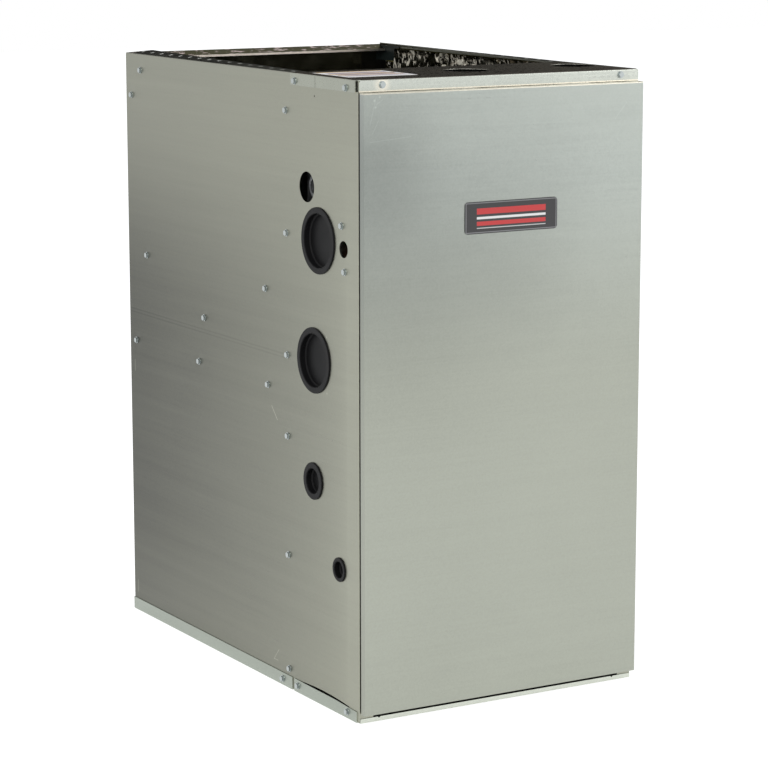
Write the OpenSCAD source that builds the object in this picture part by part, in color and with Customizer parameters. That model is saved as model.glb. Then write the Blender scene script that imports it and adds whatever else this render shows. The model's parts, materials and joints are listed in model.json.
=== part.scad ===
// Forced air gas furnace: a condensing upflow unit in a narrow galvanised cabinet.
// Millimetres. +X is right seen from the front, -Y is the front, +Z is up.
// The origin is on the floor, under the middle of the whole furnace.

/* [Cabinet] */
// Width across the two side panels
cab_w = 444.5; // [442:0.5:460]
// Depth of the side panels
cab_d = 705; // [700:1:720]
// Height of the cabinet above the floor
cab_h = 864; // [860:1:880]
// Thickness of the cabinet's sheet steel
sheet = 1; // [0.8:0.1:1.2]
// Depth of the front bay, front edge to the back of its dividing wall
bay_d = 205; // [203:1:210]
// Height of the blower deck's upper face
deck_z = 434; // [432:1:438]
// Width of the duct flanges that are folded in over the supply opening
duct_flange_w = 24; // [18:1:30]
// Rise of the side duct flanges' inner edge at the back
duct_flange_rise = 5; // [2:0.5:6]
// Fall of the back duct flange towards its inner edge
back_flange_fall = 7.5; // [4:0.5:8]

/* [Base] */
// Thickness of the base rails
rail_t = 1.2; // [1:0.1:1.5]
// Height of the base rails
rail_h = 18; // [16:1:22]
// Width of the rails' feet under the cabinet
rail_foot = 25; // [20:1:30]

/* [Front door] */
// Width of the door
door_w = 442; // [438:1:444]
// Height of the door's lower edge
door_z0 = 12.8; // [11:0.1:16]
// Distance of the door's upper edge below the top of the cabinet
door_drop = 16.6; // [16:0.1:20]
// Depth of the door's folded edges
door_fold = 10.5; // [9.5:0.5:12]
// Gap between the door's folded edges and the cabinet
door_gap = 3.2; // [3:0.1:4]
// Thickness of the lining inside the door
door_lining = 8; // [6:0.5:8.5]
// Width of the badge plate
badge_w = 147; // [100:1:180]
// Height of the badge plate
badge_h = 43; // [30:1:60]
// Thickness of the badge plate
badge_t = 0.8; // [0.5:0.1:1.5]

/* [Side openings] */
// Radius of the gas pipe opening
gas_hole_r = 20.7; // [18:0.1:22]
// Radius of the power supply opening
power_hole_r = 11.3; // [10:0.1:12]
// Rim radius of the plugs in the two vent openings
vent_plug_r = 45.2; // [40:0.1:46]
// Rim radius of the plug in the drain opening
drain_plug_r = 25.9; // [22:0.1:28]
// Rim radius of the plug in the wire opening
wire_plug_r = 16.8; // [15:0.1:20]
// Depth of the plugs' cups
plug_depth = 9; // [7:0.5:10]

/* [Pipes in the top] */
// Radius of the two round openings in the top cap
top_hole_r = 32; // [31:0.5:33]
// Inside radius of the sockets for the vent and air pipes
socket_r = 30.2; // [29:0.1:30.4]
// Depth of the pipe sockets
socket_d = 30; // [25:1:40]
// Distance of the sockets' mouths below the top of the cabinet
socket_drop = 26; // [20:1:30]

/* [Heat exchanger] */
// Number of burners and of primary tubes
cells = 4; // [3:1:4]
// Distance between neighbouring burners
cell_pitch = 66; // [60:1:70]
// Outside radius of the primary tubes
tube_r = 22; // [18:1:23]
// Distance between two passes of a primary tube
pass_step = 62; // [56:1:62]
// Number of fins on the secondary coil
fin_count = 24; // [12:1:30]

/* [Blower] */
// Outside radius of the blower wheel
wheel_r = 127; // [115:1:128]
// Width of the blower wheel
wheel_w = 203; // [180:1:206]
// Number of blades on the blower wheel
blade_count = 36; // [24:2:48]
// Radius of the blower motor
motor_r = 70; // [60:1:75]

/* [Inducer] */
// Radius of the inducer's scroll
scroll_r = 68; // [64:1:70]
// Radius of the inducer wheel
inducer_wheel_r = 50; // [44:1:56]

/* [Hidden] */
$fn = 96;
// Overshoot of a cutting solid past the face it cuts
e = 1;
// Outside radius of a fold in sheet steel
bend_r = 1.5;
half_w = cab_w / 2;
inner_w = half_w - sheet;
// Hexagon head screws
head_t = 2.4;
washer_t = 0.8;
head_r = 4.1;
washer_r = 4.9;
shank_r = 1.9;
shank_d = 6;
pilot_r = 2.1;
screw_h = head_t + washer_t;
// The door stands this far in front of the cabinet, and the badge stands on the door
door_proud = door_fold + door_gap;
front_y = -(cab_d + door_proud + badge_t + screw_h) / 2 + door_proud + badge_t;
back_y = front_y + cab_d;
wall_y = front_y + bay_d;
door_z1 = cab_h - door_drop;
// Width of the lips round the back of the door
door_lip = 7;
panel_z0 = rail_t;
// Depth of the top cap, and how far its edges are turned down
cap_d = 182;
cap_front_h = 16;
cap_side_h = 16.6;
cap_back_h = 21;
// Folded edges along the cabinet's inside
front_edge_w = 22;
back_edge_w = 30;
wall_edge_w = 16;
deck_edge_h = 16;
// Screws through each side panel: distance behind the front edge, height
side_screws = [
    [655, 840], [687, 801.5], [641.5, 563], [682.5, 427.5], [451, 493], [469.5, 426], [260, 560],
    [254.5, 425], [197, 812], [197, 644.5], [197, 475.5], [197, 361.5], [197, 192.5], [197, 28]
];
box_screws = [[43.6, 670], [35.8, 609.5]];
rail_screws = [[215.5, 9], [171, 9.5], [31, 9]];
cap_side_screws = [[169.5, 853.2], [29.7, 852.5]];
cap_front_screws = [-186, 191];
cap_front_screw_z = 857;
// Screws through the back panel: sideways place, height
back_screws = [[-150, 426], [0, 426], [150, 426], [-110, 300], [110, 300], [-150, 800], [150, 800]];
panel_screws = [[-186, 60], [186, 60], [-186, 395], [186, 395]];
// Openings in each side panel: distance behind the front edge, height
gas_at = [138.3, 713];
power_at = [38.4, 639.3];
upper_vent_at = [106.4, 643.5];
lower_vent_at = [120.4, 479];
drain_at = [123.6, 311.5];
wire_at = [52, 202.4];
side_vents = [upper_vent_at, lower_vent_at];
// Part of a plug's rim that lies on the panel
plug_lap = 2.4;
// Round openings in the top cap: sideways place, distance behind the front edge
vent_at = [3, 96];
intake_at = [185, 106];
// Burners, manifold and box, and the four cell places across the cabinet
fire_z = 713;
fire_x = [for (i = [0:cells - 1]) (i - (cells - 1) / 2) * cell_pitch];
box_wall = 1.2;
box_x = 130;
box_front = 134;
bay_front = 72;
box_z0 = 655;
box_z1 = 771;
manifold_r = 10;
manifold_wall = 2.5;
manifold_at = 150;
spud_end = 168;
window_x = 78;
window_r = 10;
// Distance of the igniter and the flame sensor from the middle of the outer burners
electrode_gap = 22;
// Gas valve: X span, span behind the front edge, Z span, and its knob's place and stem
valve_x = [-205, -138];
valve_behind = [108, 168];
valve_z = [683, 743];
knob_at = [-186, 713];
knob_stem_r = 4;
// Heat exchanger
tube_wall = 1.5;
rear_bend_at = 588;
front_bend_at = 292;
header_front = 645;
header_d = 44;
coil_w = 330;
coil_z0 = 455;
coil_z1 = 560;
coil_columns = 5;
coil_rows = 3;
coil_step = [62, 32];
coil_tube_r = 8;
coil_tube_wall = 1;
// Cold end
collector_front = 160;
inducer_at = [-45, 515];
inducer_front = 74;
inducer_back = 123;
inducer_neck_r = 26;
inducer_inlet_r = 28;
inducer_shaft_r = 4;
// Drain spout of the collector box: sideways place, distance behind the front edge
drain_spout = [-150, 182];
// Running clearance of a turning or sliding rod in its hole
running = 0.06;
// Blower
blower_at = bay_d + 270;
blower_z = 225;
blower_y = front_y + blower_at;
inlet_r = 105;
scroll_in = 137;
scroll_out = 185;
scroll_start = 60;
scroll_sweep = 300;
housing_half = 110;
housing_t = 1.2;
shaft_r = 6.35;
// Insulation
pad_t = 12;
pad_z0 = deck_z + 2;
side_pad_z1 = cab_h - 4;
back_pad_z1 = cab_h - 9;
// Brackets in the back corners
bracket_leg = 62;
bracket_h = 23;
bracket_top = cab_h - 1.5;
// Door switch and its plunger
switch_at = [182, 250];
plunger_r = 3;
// Flame rollout switch and its reset button
rollout_at = [-84, 740];
rollout_d = 12;
button_r = 2.5;
// Control tray and board
tray_x = [10, 180];
tray_z = [200, 398];
tray_back = bay_d - 2 * sheet;
board_front = tray_back - 14;
board_t = 1.6;
// Routes of the hoses and wires: sideways place, distance behind the front edge, height
pressure_route = [
    [157, 148, 615], [157, 143, 615], [157, 138, 615], [148, 122, 590],
    [122, 126, 562], [120, 138, 560], [120, 144, 560], [120, 150, 560]
];
drain_route = [
    [-150, 182, 436], [-150, 182, 432], [-150, 182, 428], [-150, 168, 415],
    [-150, 139, 416], [-150, 125, 404], [-150, 125, 400], [-150, 125, 396]
];
ground_route = [
    [-212, 50, 645], [-204, 44, 650], [-197, 34, 646], [-192, 24, 634], [-196, 20, 620], [-188, 30, 607]
];
main_route = [
    [110, 162, 404], [104, 150, 430], [70, 60, 445], [60, 48, 520], [62, 50, 590],
    [40, 40, 640], [-60, 42, 652], [-120, 54, 640], [-168, 60, 630]
];
lead_routes = [
    [[90, 160, 410], [80, 130, 425], [30, 40, 440], [12, 26, 470], [12, 30, 500], [6, 34, 513],
        [-2.6, 34, 515]],
    [[-154, 99, 710], [-150, 80, 700], [-130, 70, 676], [-112, 62, 655]],
    [[-60, 181, 803], [-70, 160, 796], [-100, 120, 780], [-118, 80, 700], [-110, 54, 664]]
];

// ---- Places and plain shapes ----

// Y of a place that is a given distance behind the cabinet's front edge
function yf(behind) = front_y + behind;
function unit(v) = v / norm(v);
// A span of the given width round a middle
function around(middle, width) = [middle - width / 2, middle + width / 2];

// A block between two corners
module block(low, high) {
    translate(low) cube(high - low);
}

// A block given by its X span, its span behind the front edge, and its Z span
module bay_block(x, behind, z) {
    block([x[0], yf(behind[0]), z[0]], [x[1], yf(behind[1]), z[1]]);
}

module rod_x(x, y, z, r) {
    translate([x[0], y, z]) rotate([0, 90, 0]) cylinder(r = r, h = x[1] - x[0]);
}

module rod_y(x, behind, z, r) {
    translate([x, yf(behind[0]), z]) rotate([-90, 0, 0]) cylinder(r = r, h = behind[1] - behind[0]);
}

module rod_z(x, behind, z, r) {
    translate([x, yf(behind), z[0]]) cylinder(r = r, h = z[1] - z[0]);
}

// Both sides of the cabinet
module both_sides() {
    children();
    mirror([1, 0, 0]) children();
}

module rounded_rectangle(size, r) {
    square([size[0] - 2 * r, size[1]], center = true);
    square([size[0], size[1] - 2 * r], center = true);
    for (sx = [-1, 1], sy = [-1, 1])
        translate([sx * (size[0] / 2 - r), sy * (size[1] / 2 - r)]) circle(r);
}

// Cutters that round a fold whose outside corner runs from the origin along the named axis. The sheet lies
// to +X and +Y of fold_z, to +Y and +Z of fold_x, to +X and -Z of top_fold_y, and to +Y and -Z of top_fold_x.
module fold_z(length) {
    translate([0, 0, -e]) linear_extrude(length + 2 * e) difference() {
        translate([-e, -e]) square(bend_r + e);
        translate([bend_r, bend_r]) circle(bend_r);
    }
}

module fold_x(length) {
    rotate([90, 0, 90]) fold_z(length);
}

module top_fold_y(length) {
    rotate([-90, 0, 0]) fold_z(length);
}

module top_fold_x(length) {
    mirror([0, 0, 1]) fold_x(length);
}

// A screw with a washer head, standing out along +Z
module screw() {
    translate([0, 0, washer_t]) cylinder(r = head_r, h = head_t, $fn = 6);
    cylinder(r = washer_r, h = washer_t, $fn = 32);
    translate([0, 0, -shank_d]) cylinder(r = shank_r, h = shank_d, $fn = 24);
}

// Copies its children to screw places on the left side, standing out along -X
module on_left(places, proud = 0) {
    for (p = places) translate([-half_w - proud, yf(p[0]), p[1]]) rotate([0, -90, 0]) children();
}

module on_back(places) {
    for (p = places) translate([p[0], back_y, p[1]]) rotate([-90, 0, 0]) children();
}

// Pilot holes for every screw that enters the cabinet's side
module side_pilots() {
    reach = 10;
    both_sides()
        on_left(concat(side_screws, rail_screws, cap_side_screws), reach / 2)
            translate([0, 0, -reach - e]) cylinder(r = pilot_r, h = reach + e, $fn = 24);
}

module back_pilots() {
    reach = 8;
    on_back(back_screws) translate([0, 0, -reach]) cylinder(r = pilot_r, h = reach + e, $fn = 24);
}

// ---- Hoses and wires ----

function spline_point(a, b, c, d, t) =
    (2 * b + (c - a) * t + (2 * a - 5 * b + 4 * c - d) * t * t + (3 * b - a - 3 * c + d) * t * t * t) / 2;

// A smooth line through hand-placed points
function smooth(route, steps) =
    let (last = len(route) - 1)
    concat(
        [for (i = [0:last - 1], k = [0:steps - 1])
            spline_point(route[max(i - 1, 0)], route[i], route[i + 1], route[min(i + 2, last)], k / steps)],
        [route[last]]
    );

function directions(line) =
    let (last = len(line) - 1)
    [for (i = [0:last]) unit(line[min(i + 1, last)] - line[max(i - 1, 0)])];

// Sideways vectors that follow the line without twisting
function sideways(heading) =
    let (first = unit(cross(heading[0], abs(heading[0][2]) > 0.8 ? [1, 0, 0] : [0, 0, 1])))
    [for (i = 0, s = first; i < len(heading); i = i + 1,
        s = i < len(heading) ? unit(s - heading[i] * (s * heading[i])) : s) s];

// A tube of the given radius along a route of (x, distance behind the front edge, z)
module flexible(route, r, sides = 8, steps = 4) {
    line = smooth([for (p = route) [p[0], yf(p[1]), p[2]]], steps);
    heading = directions(line);
    side = sideways(heading);
    count = len(line);
    rings = [for (i = [0:count - 1], k = [0:sides - 1])
        let (a = 360 * k / sides)
        line[i] + r * (cos(a) * side[i] + sin(a) * cross(heading[i], side[i]))];
    walls = [for (i = [0:count - 2], k = [0:sides - 1])
        let (n = (k + 1) % sides, low = i * sides, high = low + sides)
        each [[low + k, high + k, high + n], [low + k, high + n, low + n]]];
    start = [for (k = [0:sides - 1]) k];
    finish = [for (k = [sides - 1:-1:0]) (count - 1) * sides + k];
    polyhedron(points = rings, faces = concat(walls, [start, finish]));
}

// ---- Cabinet ----

// A flange folded in over the supply opening: its fold runs along +Y from y0 to y1, its inner edge
// lies w to the +X, cut back by mitre at the far end, and rises from rise0 to rise1
module duct_flange(y0, y1, w, rise0, rise1, mitre) {
    dot_pitch = 31.5;
    dot_r = 1.2;
    dots = floor((y1 - mitre - y0) / dot_pitch);
    top = [[0, y0, 0], [w, y0, rise0], [w, y1 - mitre, rise1], [0, y1, 0]];
    bottom = [for (p = top) p - [0, 0, sheet]];
    difference() {
        polyhedron(
            points = concat(top, bottom),
            faces = [
                [0, 2, 1], [0, 3, 2], [4, 5, 6], [4, 6, 7],
                [0, 1, 5, 4], [1, 2, 6, 5], [2, 3, 7, 6], [3, 0, 4, 7]
            ]
        );
        for (i = [0:dots - 1])
            translate([w / 2, y0 + (i + 0.5) * dot_pitch, min(rise0, rise1) - sheet - e])
                cylinder(r = dot_r, h = abs(rise1 - rise0) + abs(rise1) + sheet + 3 * e, $fn = 16);
    }
}

// The left side panel with its openings and a small relief in its front top corner; the right one is its
// mirror image
module side_panel() {
    notch_back = cap_d + 0.5;
    spare_hole = [116, 836];
    spare_r = 1.2;
    flange_mitre = 40;
    relief_d = 4.5;
    relief_h = 15.5;
    difference() {
        union() {
            block([-half_w, front_y, panel_z0], [-inner_w, back_y, cab_h]);
            block([-inner_w - e / 2, front_y, panel_z0],
                [-half_w + front_edge_w, front_y + sheet, cab_h - sheet]);
            translate([-inner_w, 0, cab_h]) duct_flange(yf(notch_back), back_y - sheet, duct_flange_w, 0,
                duct_flange_rise, flange_mitre);
        }
        block([-half_w - e, front_y - e, cab_h - sheet], [-inner_w + e, yf(notch_back), cab_h + e]);
        for (p = side_vents) side_opening(p, vent_plug_r - plug_lap);
        side_opening(drain_at, drain_plug_r - plug_lap);
        side_opening(wire_at, wire_plug_r - plug_lap);
        side_opening(gas_at, gas_hole_r);
        side_opening(power_at, power_hole_r);
        side_opening(spare_hole, spare_r);
        bay_block([-half_w - e, -inner_w], [-e, relief_d], [cab_h - relief_h, cab_h]);
        side_pilots();
        on_left(box_screws, e) translate([0, 0, -e - 2]) cylinder(r = pilot_r, h = 2 * e + 2, $fn = 24);
        arched_gap();
        translate([-half_w, front_y, panel_z0]) fold_z(cab_h - panel_z0);
        translate([-half_w, yf(notch_back) + e, cab_h]) top_fold_y(cab_d - notch_back - e);
    }
}

// The side panel's lower edge arches up over the front pan and leaves a long thin gap there
module arched_gap() {
    span = [28, 176];
    rise = 3.6;
    foot = 14;
    half = (span[1] - span[0]) / 2;
    arc_r = (half * half + rise * rise) / (2 * rise);
    intersection() {
        rod_x([-half_w - e, -inner_w + e], yf(span[0] + half), rail_h - 1 + rise - arc_r, arc_r);
        bay_block([-half_w - e, -inner_w + e], span, [foot, rail_h + rise]);
    }
}

module side_opening(place, r) {
    rod_x([-half_w - e, -inner_w + e], yf(place[0]), place[1], r);
}

module left_side_panel() {
    color([0.60, 0.61, 0.56]) side_panel();
}

module right_side_panel() {
    color([0.60, 0.61, 0.56]) mirror([1, 0, 0]) side_panel();
}

module back_panel() {
    lap_x = inner_w - sheet;
    flange_x = inner_w - 2 * sheet - 0.5;
    flange_w = 20;
    hem = 2;
    hem_y = back_y - sheet - flange_w;
    hem_z = cab_h - back_flange_fall - sheet;
    color([0.58, 0.59, 0.55]) difference() {
        union() {
            block([-inner_w, back_y - sheet, panel_z0], [inner_w, back_y, cab_h]);
            for (s = [-1, 1])
                block([s > 0 ? lap_x : -inner_w, back_y - back_edge_w, panel_z0 + rail_t + sheet],
                    [s > 0 ? inner_w : -lap_x, back_y - sheet + e / 2, cab_h - 2 * sheet]);
            translate([0, back_y - sheet, cab_h]) rotate([0, 0, -90])
                duct_flange(-flange_x, flange_x, flange_w, -back_flange_fall, -back_flange_fall, 0);
            block([-flange_x, hem_y - hem / 2, hem_z - hem / 2], [flange_x, hem_y + hem / 2, hem_z + hem]);
        }
        side_pilots();
        back_pilots();
    }
}

// The shelf over the front bay: round front corners, edges turned down, and a slit in each side edge
module top_cap() {
    rim_t = 1;
    rim_h = 3.5;
    front_x = half_w - 1.5;
    back_x = inner_w - sheet;
    corner_r = 5;
    flat_x = front_x - corner_r;
    slit = [111.8, 112.5];
    holes = [vent_at, intake_at];
    color([0.55, 0.56, 0.53]) difference() {
        union() {
            block([-half_w - sheet, yf(corner_r), cab_h - sheet], [half_w + sheet, yf(cap_d), cab_h]);
            block([-flat_x, front_y, cab_h - sheet], [flat_x, yf(corner_r), cab_h]);
            both_sides() rod_z(-flat_x, corner_r, [cab_h - sheet, cab_h], corner_r);
            block([-front_x, front_y - sheet, cab_h - cap_front_h], [front_x, front_y, cab_h - corner_r]);
            block([-flat_x, front_y - sheet, cab_h - corner_r], [flat_x, front_y, cab_h]);
            both_sides() rod_y(-flat_x, [-sheet, 0], cab_h - corner_r, corner_r);
            both_sides()
                block([-half_w - sheet, yf(corner_r), cab_h - cap_side_h], [-half_w, yf(cap_d), cab_h]);
            block([-back_x, yf(cap_d - sheet), cab_h - cap_back_h], [back_x, yf(cap_d), cab_h]);
            for (p = holes) rod_z(p[0], p[1], [cab_h - rim_h, cab_h], top_hole_r + rim_t);
        }
        for (p = holes) rod_z(p[0], p[1], [cab_h - rim_h - e, cab_h + e], top_hole_r);
        side_pilots();
        for (x = cap_front_screws) rod_y(x, [-sheet - e, e], cap_front_screw_z, pilot_r);
        translate([-flat_x, front_y - sheet, cab_h]) top_fold_x(2 * flat_x);
        both_sides() {
            translate([-half_w - sheet, yf(corner_r), cab_h]) top_fold_y(cap_d - corner_r);
            bay_block([-half_w - sheet - e, -half_w + e / 2], slit,
                [cab_h - cap_side_h - e, cab_h - bend_r]);
        }
    }
}

// Angles in the back corners, under the duct flanges, with a short lip along the foot
module corner_brackets() {
    back_leg = 6;
    lip = 4;
    lip_start = 20;
    x = inner_w - sheet;
    y = back_y - sheet;
    z = [bracket_top - bracket_h, bracket_top - 7.5];
    color([0.25, 0.27, 0.27]) both_sides() difference() {
        union() {
            block([x - sheet, y - bracket_leg, z[0]], [x, y - 1, bracket_top]);
            block([x - back_leg, y - sheet, z[0]], [x, y, z[1]]);
            block([x - lip, y - bracket_leg, z[0]], [x, y - lip_start, z[0] + sheet]);
        }
        side_pilots();
    }
}

// The floor of the front bay, with a low lip in front and a turned-up edge on each side
module front_base_pan() {
    lip_x = 221;
    lip_h = 6;
    notches_x = [-192, 190];
    notch_r = 1.6;
    side_start = 5;
    side_end = 181.5;
    low_end = 15;
    step_back = 60;
    color([0.66, 0.67, 0.62]) difference() {
        union() {
            block([-half_w - rail_t, yf(side_start), 0], [half_w + rail_t, yf(side_end), rail_t]);
            block([-lip_x, yf(-rail_t), 0], [lip_x, yf(side_start + e), rail_t]);
            block([-lip_x, yf(-rail_t), 0], [lip_x, yf(0), lip_h]);
            both_sides() translate([-half_w - rail_t, 0, 0]) rotate([90, 0, 90]) linear_extrude(rail_t)
                polygon([
                    [yf(side_start), 0], [yf(side_end), 0], [yf(side_end), rail_h],
                    [yf(side_start + step_back), rail_h - 0.5], [yf(side_start), low_end]
                ]);
        }
        for (x = notches_x) rod_y(x, [-rail_t - e, e], lip_h, notch_r);
        side_pilots();
    }
}

module rear_base_rails() {
    start = 187;
    corner_gap = 1;
    color([0.62, 0.63, 0.58]) difference() {
        union() {
            both_sides() {
                block([-half_w - rail_t, yf(start), 0], [-half_w, back_y + rail_t, rail_h]);
                block([-half_w - rail_t, yf(start), 0],
                    [-half_w + rail_foot, back_y - rail_foot - corner_gap, rail_t]);
            }
            block([-half_w + corner_gap, back_y, 0], [half_w - corner_gap, back_y + rail_t, rail_h]);
            block([-half_w + corner_gap, back_y - rail_foot, 0],
                [half_w - corner_gap, back_y + rail_t, rail_t]);
        }
        side_pilots();
    }
}

// The frame of the return air opening in the cabinet's floor
module return_flange() {
    opening_x = 180;
    opening_front = bay_d + 30;
    opening_back = cab_d - 35;
    flange_h = 12;
    low = [-inner_w + sheet, wall_y + sheet + 0.5, rail_t];
    high = [inner_w - sheet, back_y - sheet, rail_t + sheet];
    color([0.60, 0.61, 0.57]) difference() {
        union() {
            block(low, high);
            bay_block([-opening_x - sheet, opening_x + sheet],
                [opening_front - sheet, opening_back + sheet], [rail_t, rail_t + flange_h]);
        }
        bay_block([-opening_x, opening_x], [opening_front, opening_back], [0, rail_t + flange_h + e]);
    }
}

// ---- Front door ----

module front_door() {
    back = -door_gap;
    front = -door_proud;
    half = door_w / 2;
    lip = door_lip;
    color([0.70, 0.71, 0.67]) difference() {
        bay_block([-half, half], [front, back], [door_z0, door_z1]);
        bay_block([-half + sheet, half - sheet], [front + sheet, back - sheet],
            [door_z0 + sheet, door_z1 - sheet]);
        bay_block([-half + lip, half - lip], [front + sheet, back + e], [door_z0 + lip, door_z1 - lip]);
        both_sides() translate([-half, yf(front), door_z0]) fold_z(door_z1 - door_z0);
        translate([-half, yf(front), door_z0]) fold_x(door_w);
        translate([-half, yf(front), door_z1]) top_fold_x(door_w);
    }
}

module door_badge() {
    badge_x = 6.5;
    badge_z = 676;
    corner = 5;
    color([0.05, 0.05, 0.06])
        translate([badge_x, yf(-door_proud), badge_z]) rotate([90, 0, 0])
            linear_extrude(badge_t) rounded_rectangle([badge_w, badge_h], corner);
}

module door_lining_pad() {
    side_gap = 12;
    half = door_w / 2 - side_gap;
    back = -door_proud + sheet + door_lining;
    color([0.75, 0.76, 0.76])
        bay_block([-half, half], [-door_proud + sheet, back], [door_z0 + side_gap, door_z1 - side_gap]);
}

// Spring tongues on the cabinet's front edges that hold the door by the inside of its lips
module door_clips() {
    heights = [110, 420, 740];
    half_h = 10;
    tongue_x = door_w / 2 - door_lip - 0.5;
    plate_x = tongue_x - 9;
    clip_t = 1.2;
    reach = -11;
    color([0.72, 0.74, 0.77]) both_sides() for (z = heights) {
        bay_block([plate_x, tongue_x], [-clip_t, 0], [z - half_h, z + half_h]);
        bay_block([tongue_x - clip_t, tongue_x], [reach, -clip_t / 2], [z - half_h, z + half_h]);
    }
}

// ---- Inner walls ----

// A sheet wall across the cabinet with edges turned forward along both side panels
module cross_wall(z0, z1) {
    bay_block([-inner_w, inner_w], [bay_d - sheet, bay_d], [z0, z1]);
    both_sides()
        bay_block([-inner_w, -inner_w + sheet], [bay_d - wall_edge_w, bay_d - sheet + e / 2], [z0, z1]);
}

module vestibule_panel() {
    top = cab_h - cap_back_h;
    port_r = tube_r - tube_wall;
    coil_hole_x = 160;
    coil_hole_z = [coil_z0 - 3, coil_z1 + 22];
    color([0.57, 0.58, 0.55]) difference() {
        union() {
            cross_wall(deck_z, top);
            bay_block([-inner_w + 2 * sheet, inner_w - 2 * sheet], [cap_d, bay_d], [top - sheet, top]);
        }
        for (x = fire_x) rod_y(x, [bay_d - sheet - e, bay_d + e], fire_z, port_r);
        bay_block([-coil_hole_x, coil_hole_x], [bay_d - sheet - e, bay_d + e], coil_hole_z);
        side_pilots();
    }
}

module divider_frame() {
    opening_x = 180;
    opening_z = [45, 400];
    floor_start = 160;
    floor_z = rail_t;
    color([0.56, 0.57, 0.54]) difference() {
        union() {
            cross_wall(floor_z, deck_z - sheet);
            bay_block([-inner_w, inner_w], [floor_start, bay_d], [floor_z, floor_z + sheet]);
        }
        bay_block([-opening_x, opening_x], [bay_d - sheet - e, bay_d + e], opening_z);
        side_pilots();
        for (p = panel_screws) rod_y(p[0], [bay_d - sheet - e, bay_d + e], p[1], pilot_r);
    }
}

module blower_access_panel() {
    half = 196;
    z = [30, 415];
    edge_d = 8;
    back = bay_d - sheet;
    color([0.62, 0.63, 0.60]) difference() {
        bay_block([-half, half], [back - edge_d, back], z);
        bay_block([-half + sheet, half - sheet], [back - edge_d - e, back - sheet], z + [sheet, -sheet]);
        for (p = panel_screws) rod_y(p[0], [back - sheet - e, back + e], p[1], pilot_r);
    }
}

module blower_deck() {
    back_narrow = cab_d - back_edge_w - 1;
    narrow_x = inner_w - sheet - 0.2;
    under = deck_z - sheet;
    mouth = [blower_at + cos(scroll_start) * scroll_in, blower_at + scroll_out];
    color([0.57, 0.58, 0.55]) difference() {
        union() {
            bay_block([-inner_w, inner_w], [bay_d, back_narrow], [under, deck_z]);
            bay_block([-narrow_x, narrow_x], [bay_d, cab_d - sheet], [under, deck_z]);
            both_sides() bay_block([-inner_w, -inner_w + sheet], [bay_d + 2, back_narrow],
                [deck_z - deck_edge_h, deck_z]);
            bay_block([-narrow_x, narrow_x], [bay_d, bay_d + sheet], [deck_z - deck_edge_h, deck_z]);
            bay_block([-narrow_x, narrow_x], [cab_d - 2 * sheet, cab_d - sheet],
                [deck_z - deck_edge_h, deck_z]);
        }
        bay_block([-housing_half, housing_half], mouth, [under - e, deck_z + e]);
        side_pilots();
        back_pilots();
    }
}

// Foil-faced glass fibre on the left, right and back walls of the heating chamber
module cabinet_insulation() {
    side_back = cab_d - 38;
    back_half = half_w - 42;
    notch = [cab_d - sheet - bracket_leg - 2, bracket_top - bracket_h - 2];
    color([0.80, 0.80, 0.74]) difference() {
        union() {
            both_sides() difference() {
                bay_block([-inner_w, -inner_w + pad_t], [bay_d + 1, side_back], [pad_z0, side_pad_z1]);
                bay_block([-inner_w - e, -inner_w + pad_t + e], [notch[0], side_back + e], [notch[1], cab_h]);
            }
            bay_block([-back_half, back_half], [cab_d - sheet - pad_t, cab_d - sheet], [pad_z0, back_pad_z1]);
        }
        side_pilots();
        back_pilots();
    }
}

module rating_label() {
    label_t = 0.3;
    color([0.88, 0.87, 0.84]) bay_block([-206, -101], [52, 150], [cab_h, cab_h + label_t]);
}

// ---- Plugs and screws ----

// A push-in plug with a dished middle, its rim standing out along +Z
module hole_plug(rim_r, depth = plug_depth) {
    rim_t = 2.3;
    rim_w = rim_r > 20 ? 8.4 : 5.4;
    wall = 1.6;
    cup_r = rim_r - rim_w;
    snap_r = rim_r - plug_lap - 0.15;
    snap_d = min(6, depth);
    barb = 0.35;
    edge = 0.8;
    rotate_extrude() {
        polygon([
            [cup_r, 0], [rim_r, 0], [rim_r, rim_t - edge], [rim_r - edge, rim_t],
            [cup_r + edge, rim_t], [cup_r, rim_t - edge]
        ]);
        polygon([
            [0, -depth], [cup_r, -depth], [cup_r + wall, -depth + wall],
            [cup_r + wall, rim_t / 2], [cup_r, rim_t / 2], [cup_r, -depth + 2 * wall],
            [cup_r - wall, -depth + wall], [0, -depth + wall]
        ]);
        polygon([
            [snap_r - wall, -snap_d], [snap_r, -snap_d], [snap_r + barb + 0.15, -sheet - 1.2],
            [snap_r, -sheet - 0.3], [snap_r, rim_t / 2], [snap_r - wall, rim_t / 2]
        ]);
    }
}

// The right panel's gas and power openings are closed as well, with shallow plugs
module hole_plugs() {
    shallow = 3.8;
    color([0.10, 0.10, 0.10]) {
        both_sides() {
            on_left(side_vents) hole_plug(vent_plug_r);
            on_left([drain_at]) hole_plug(drain_plug_r);
            on_left([wire_at]) hole_plug(wire_plug_r);
        }
        mirror([1, 0, 0]) {
            on_left([gas_at]) hole_plug(gas_hole_r + plug_lap, shallow);
            on_left([power_at]) hole_plug(power_hole_r + plug_lap, shallow);
        }
    }
}

module cabinet_screws() {
    color([0.75, 0.77, 0.80]) {
        both_sides() {
            on_left(side_screws) screw();
            on_left(rail_screws, rail_t) screw();
            on_left(cap_side_screws, sheet) screw();
        }
        on_left(box_screws) screw();
        on_back(back_screws) screw();
        for (x = cap_front_screws)
            translate([x, yf(-sheet), cap_front_screw_z]) rotate([90, 0, 0]) screw();
        for (p = panel_screws)
            translate([p[0], yf(bay_d - 2 * sheet), p[1]]) rotate([90, 0, 0]) screw();
    }
}

// ---- Gas and burners ----

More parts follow.
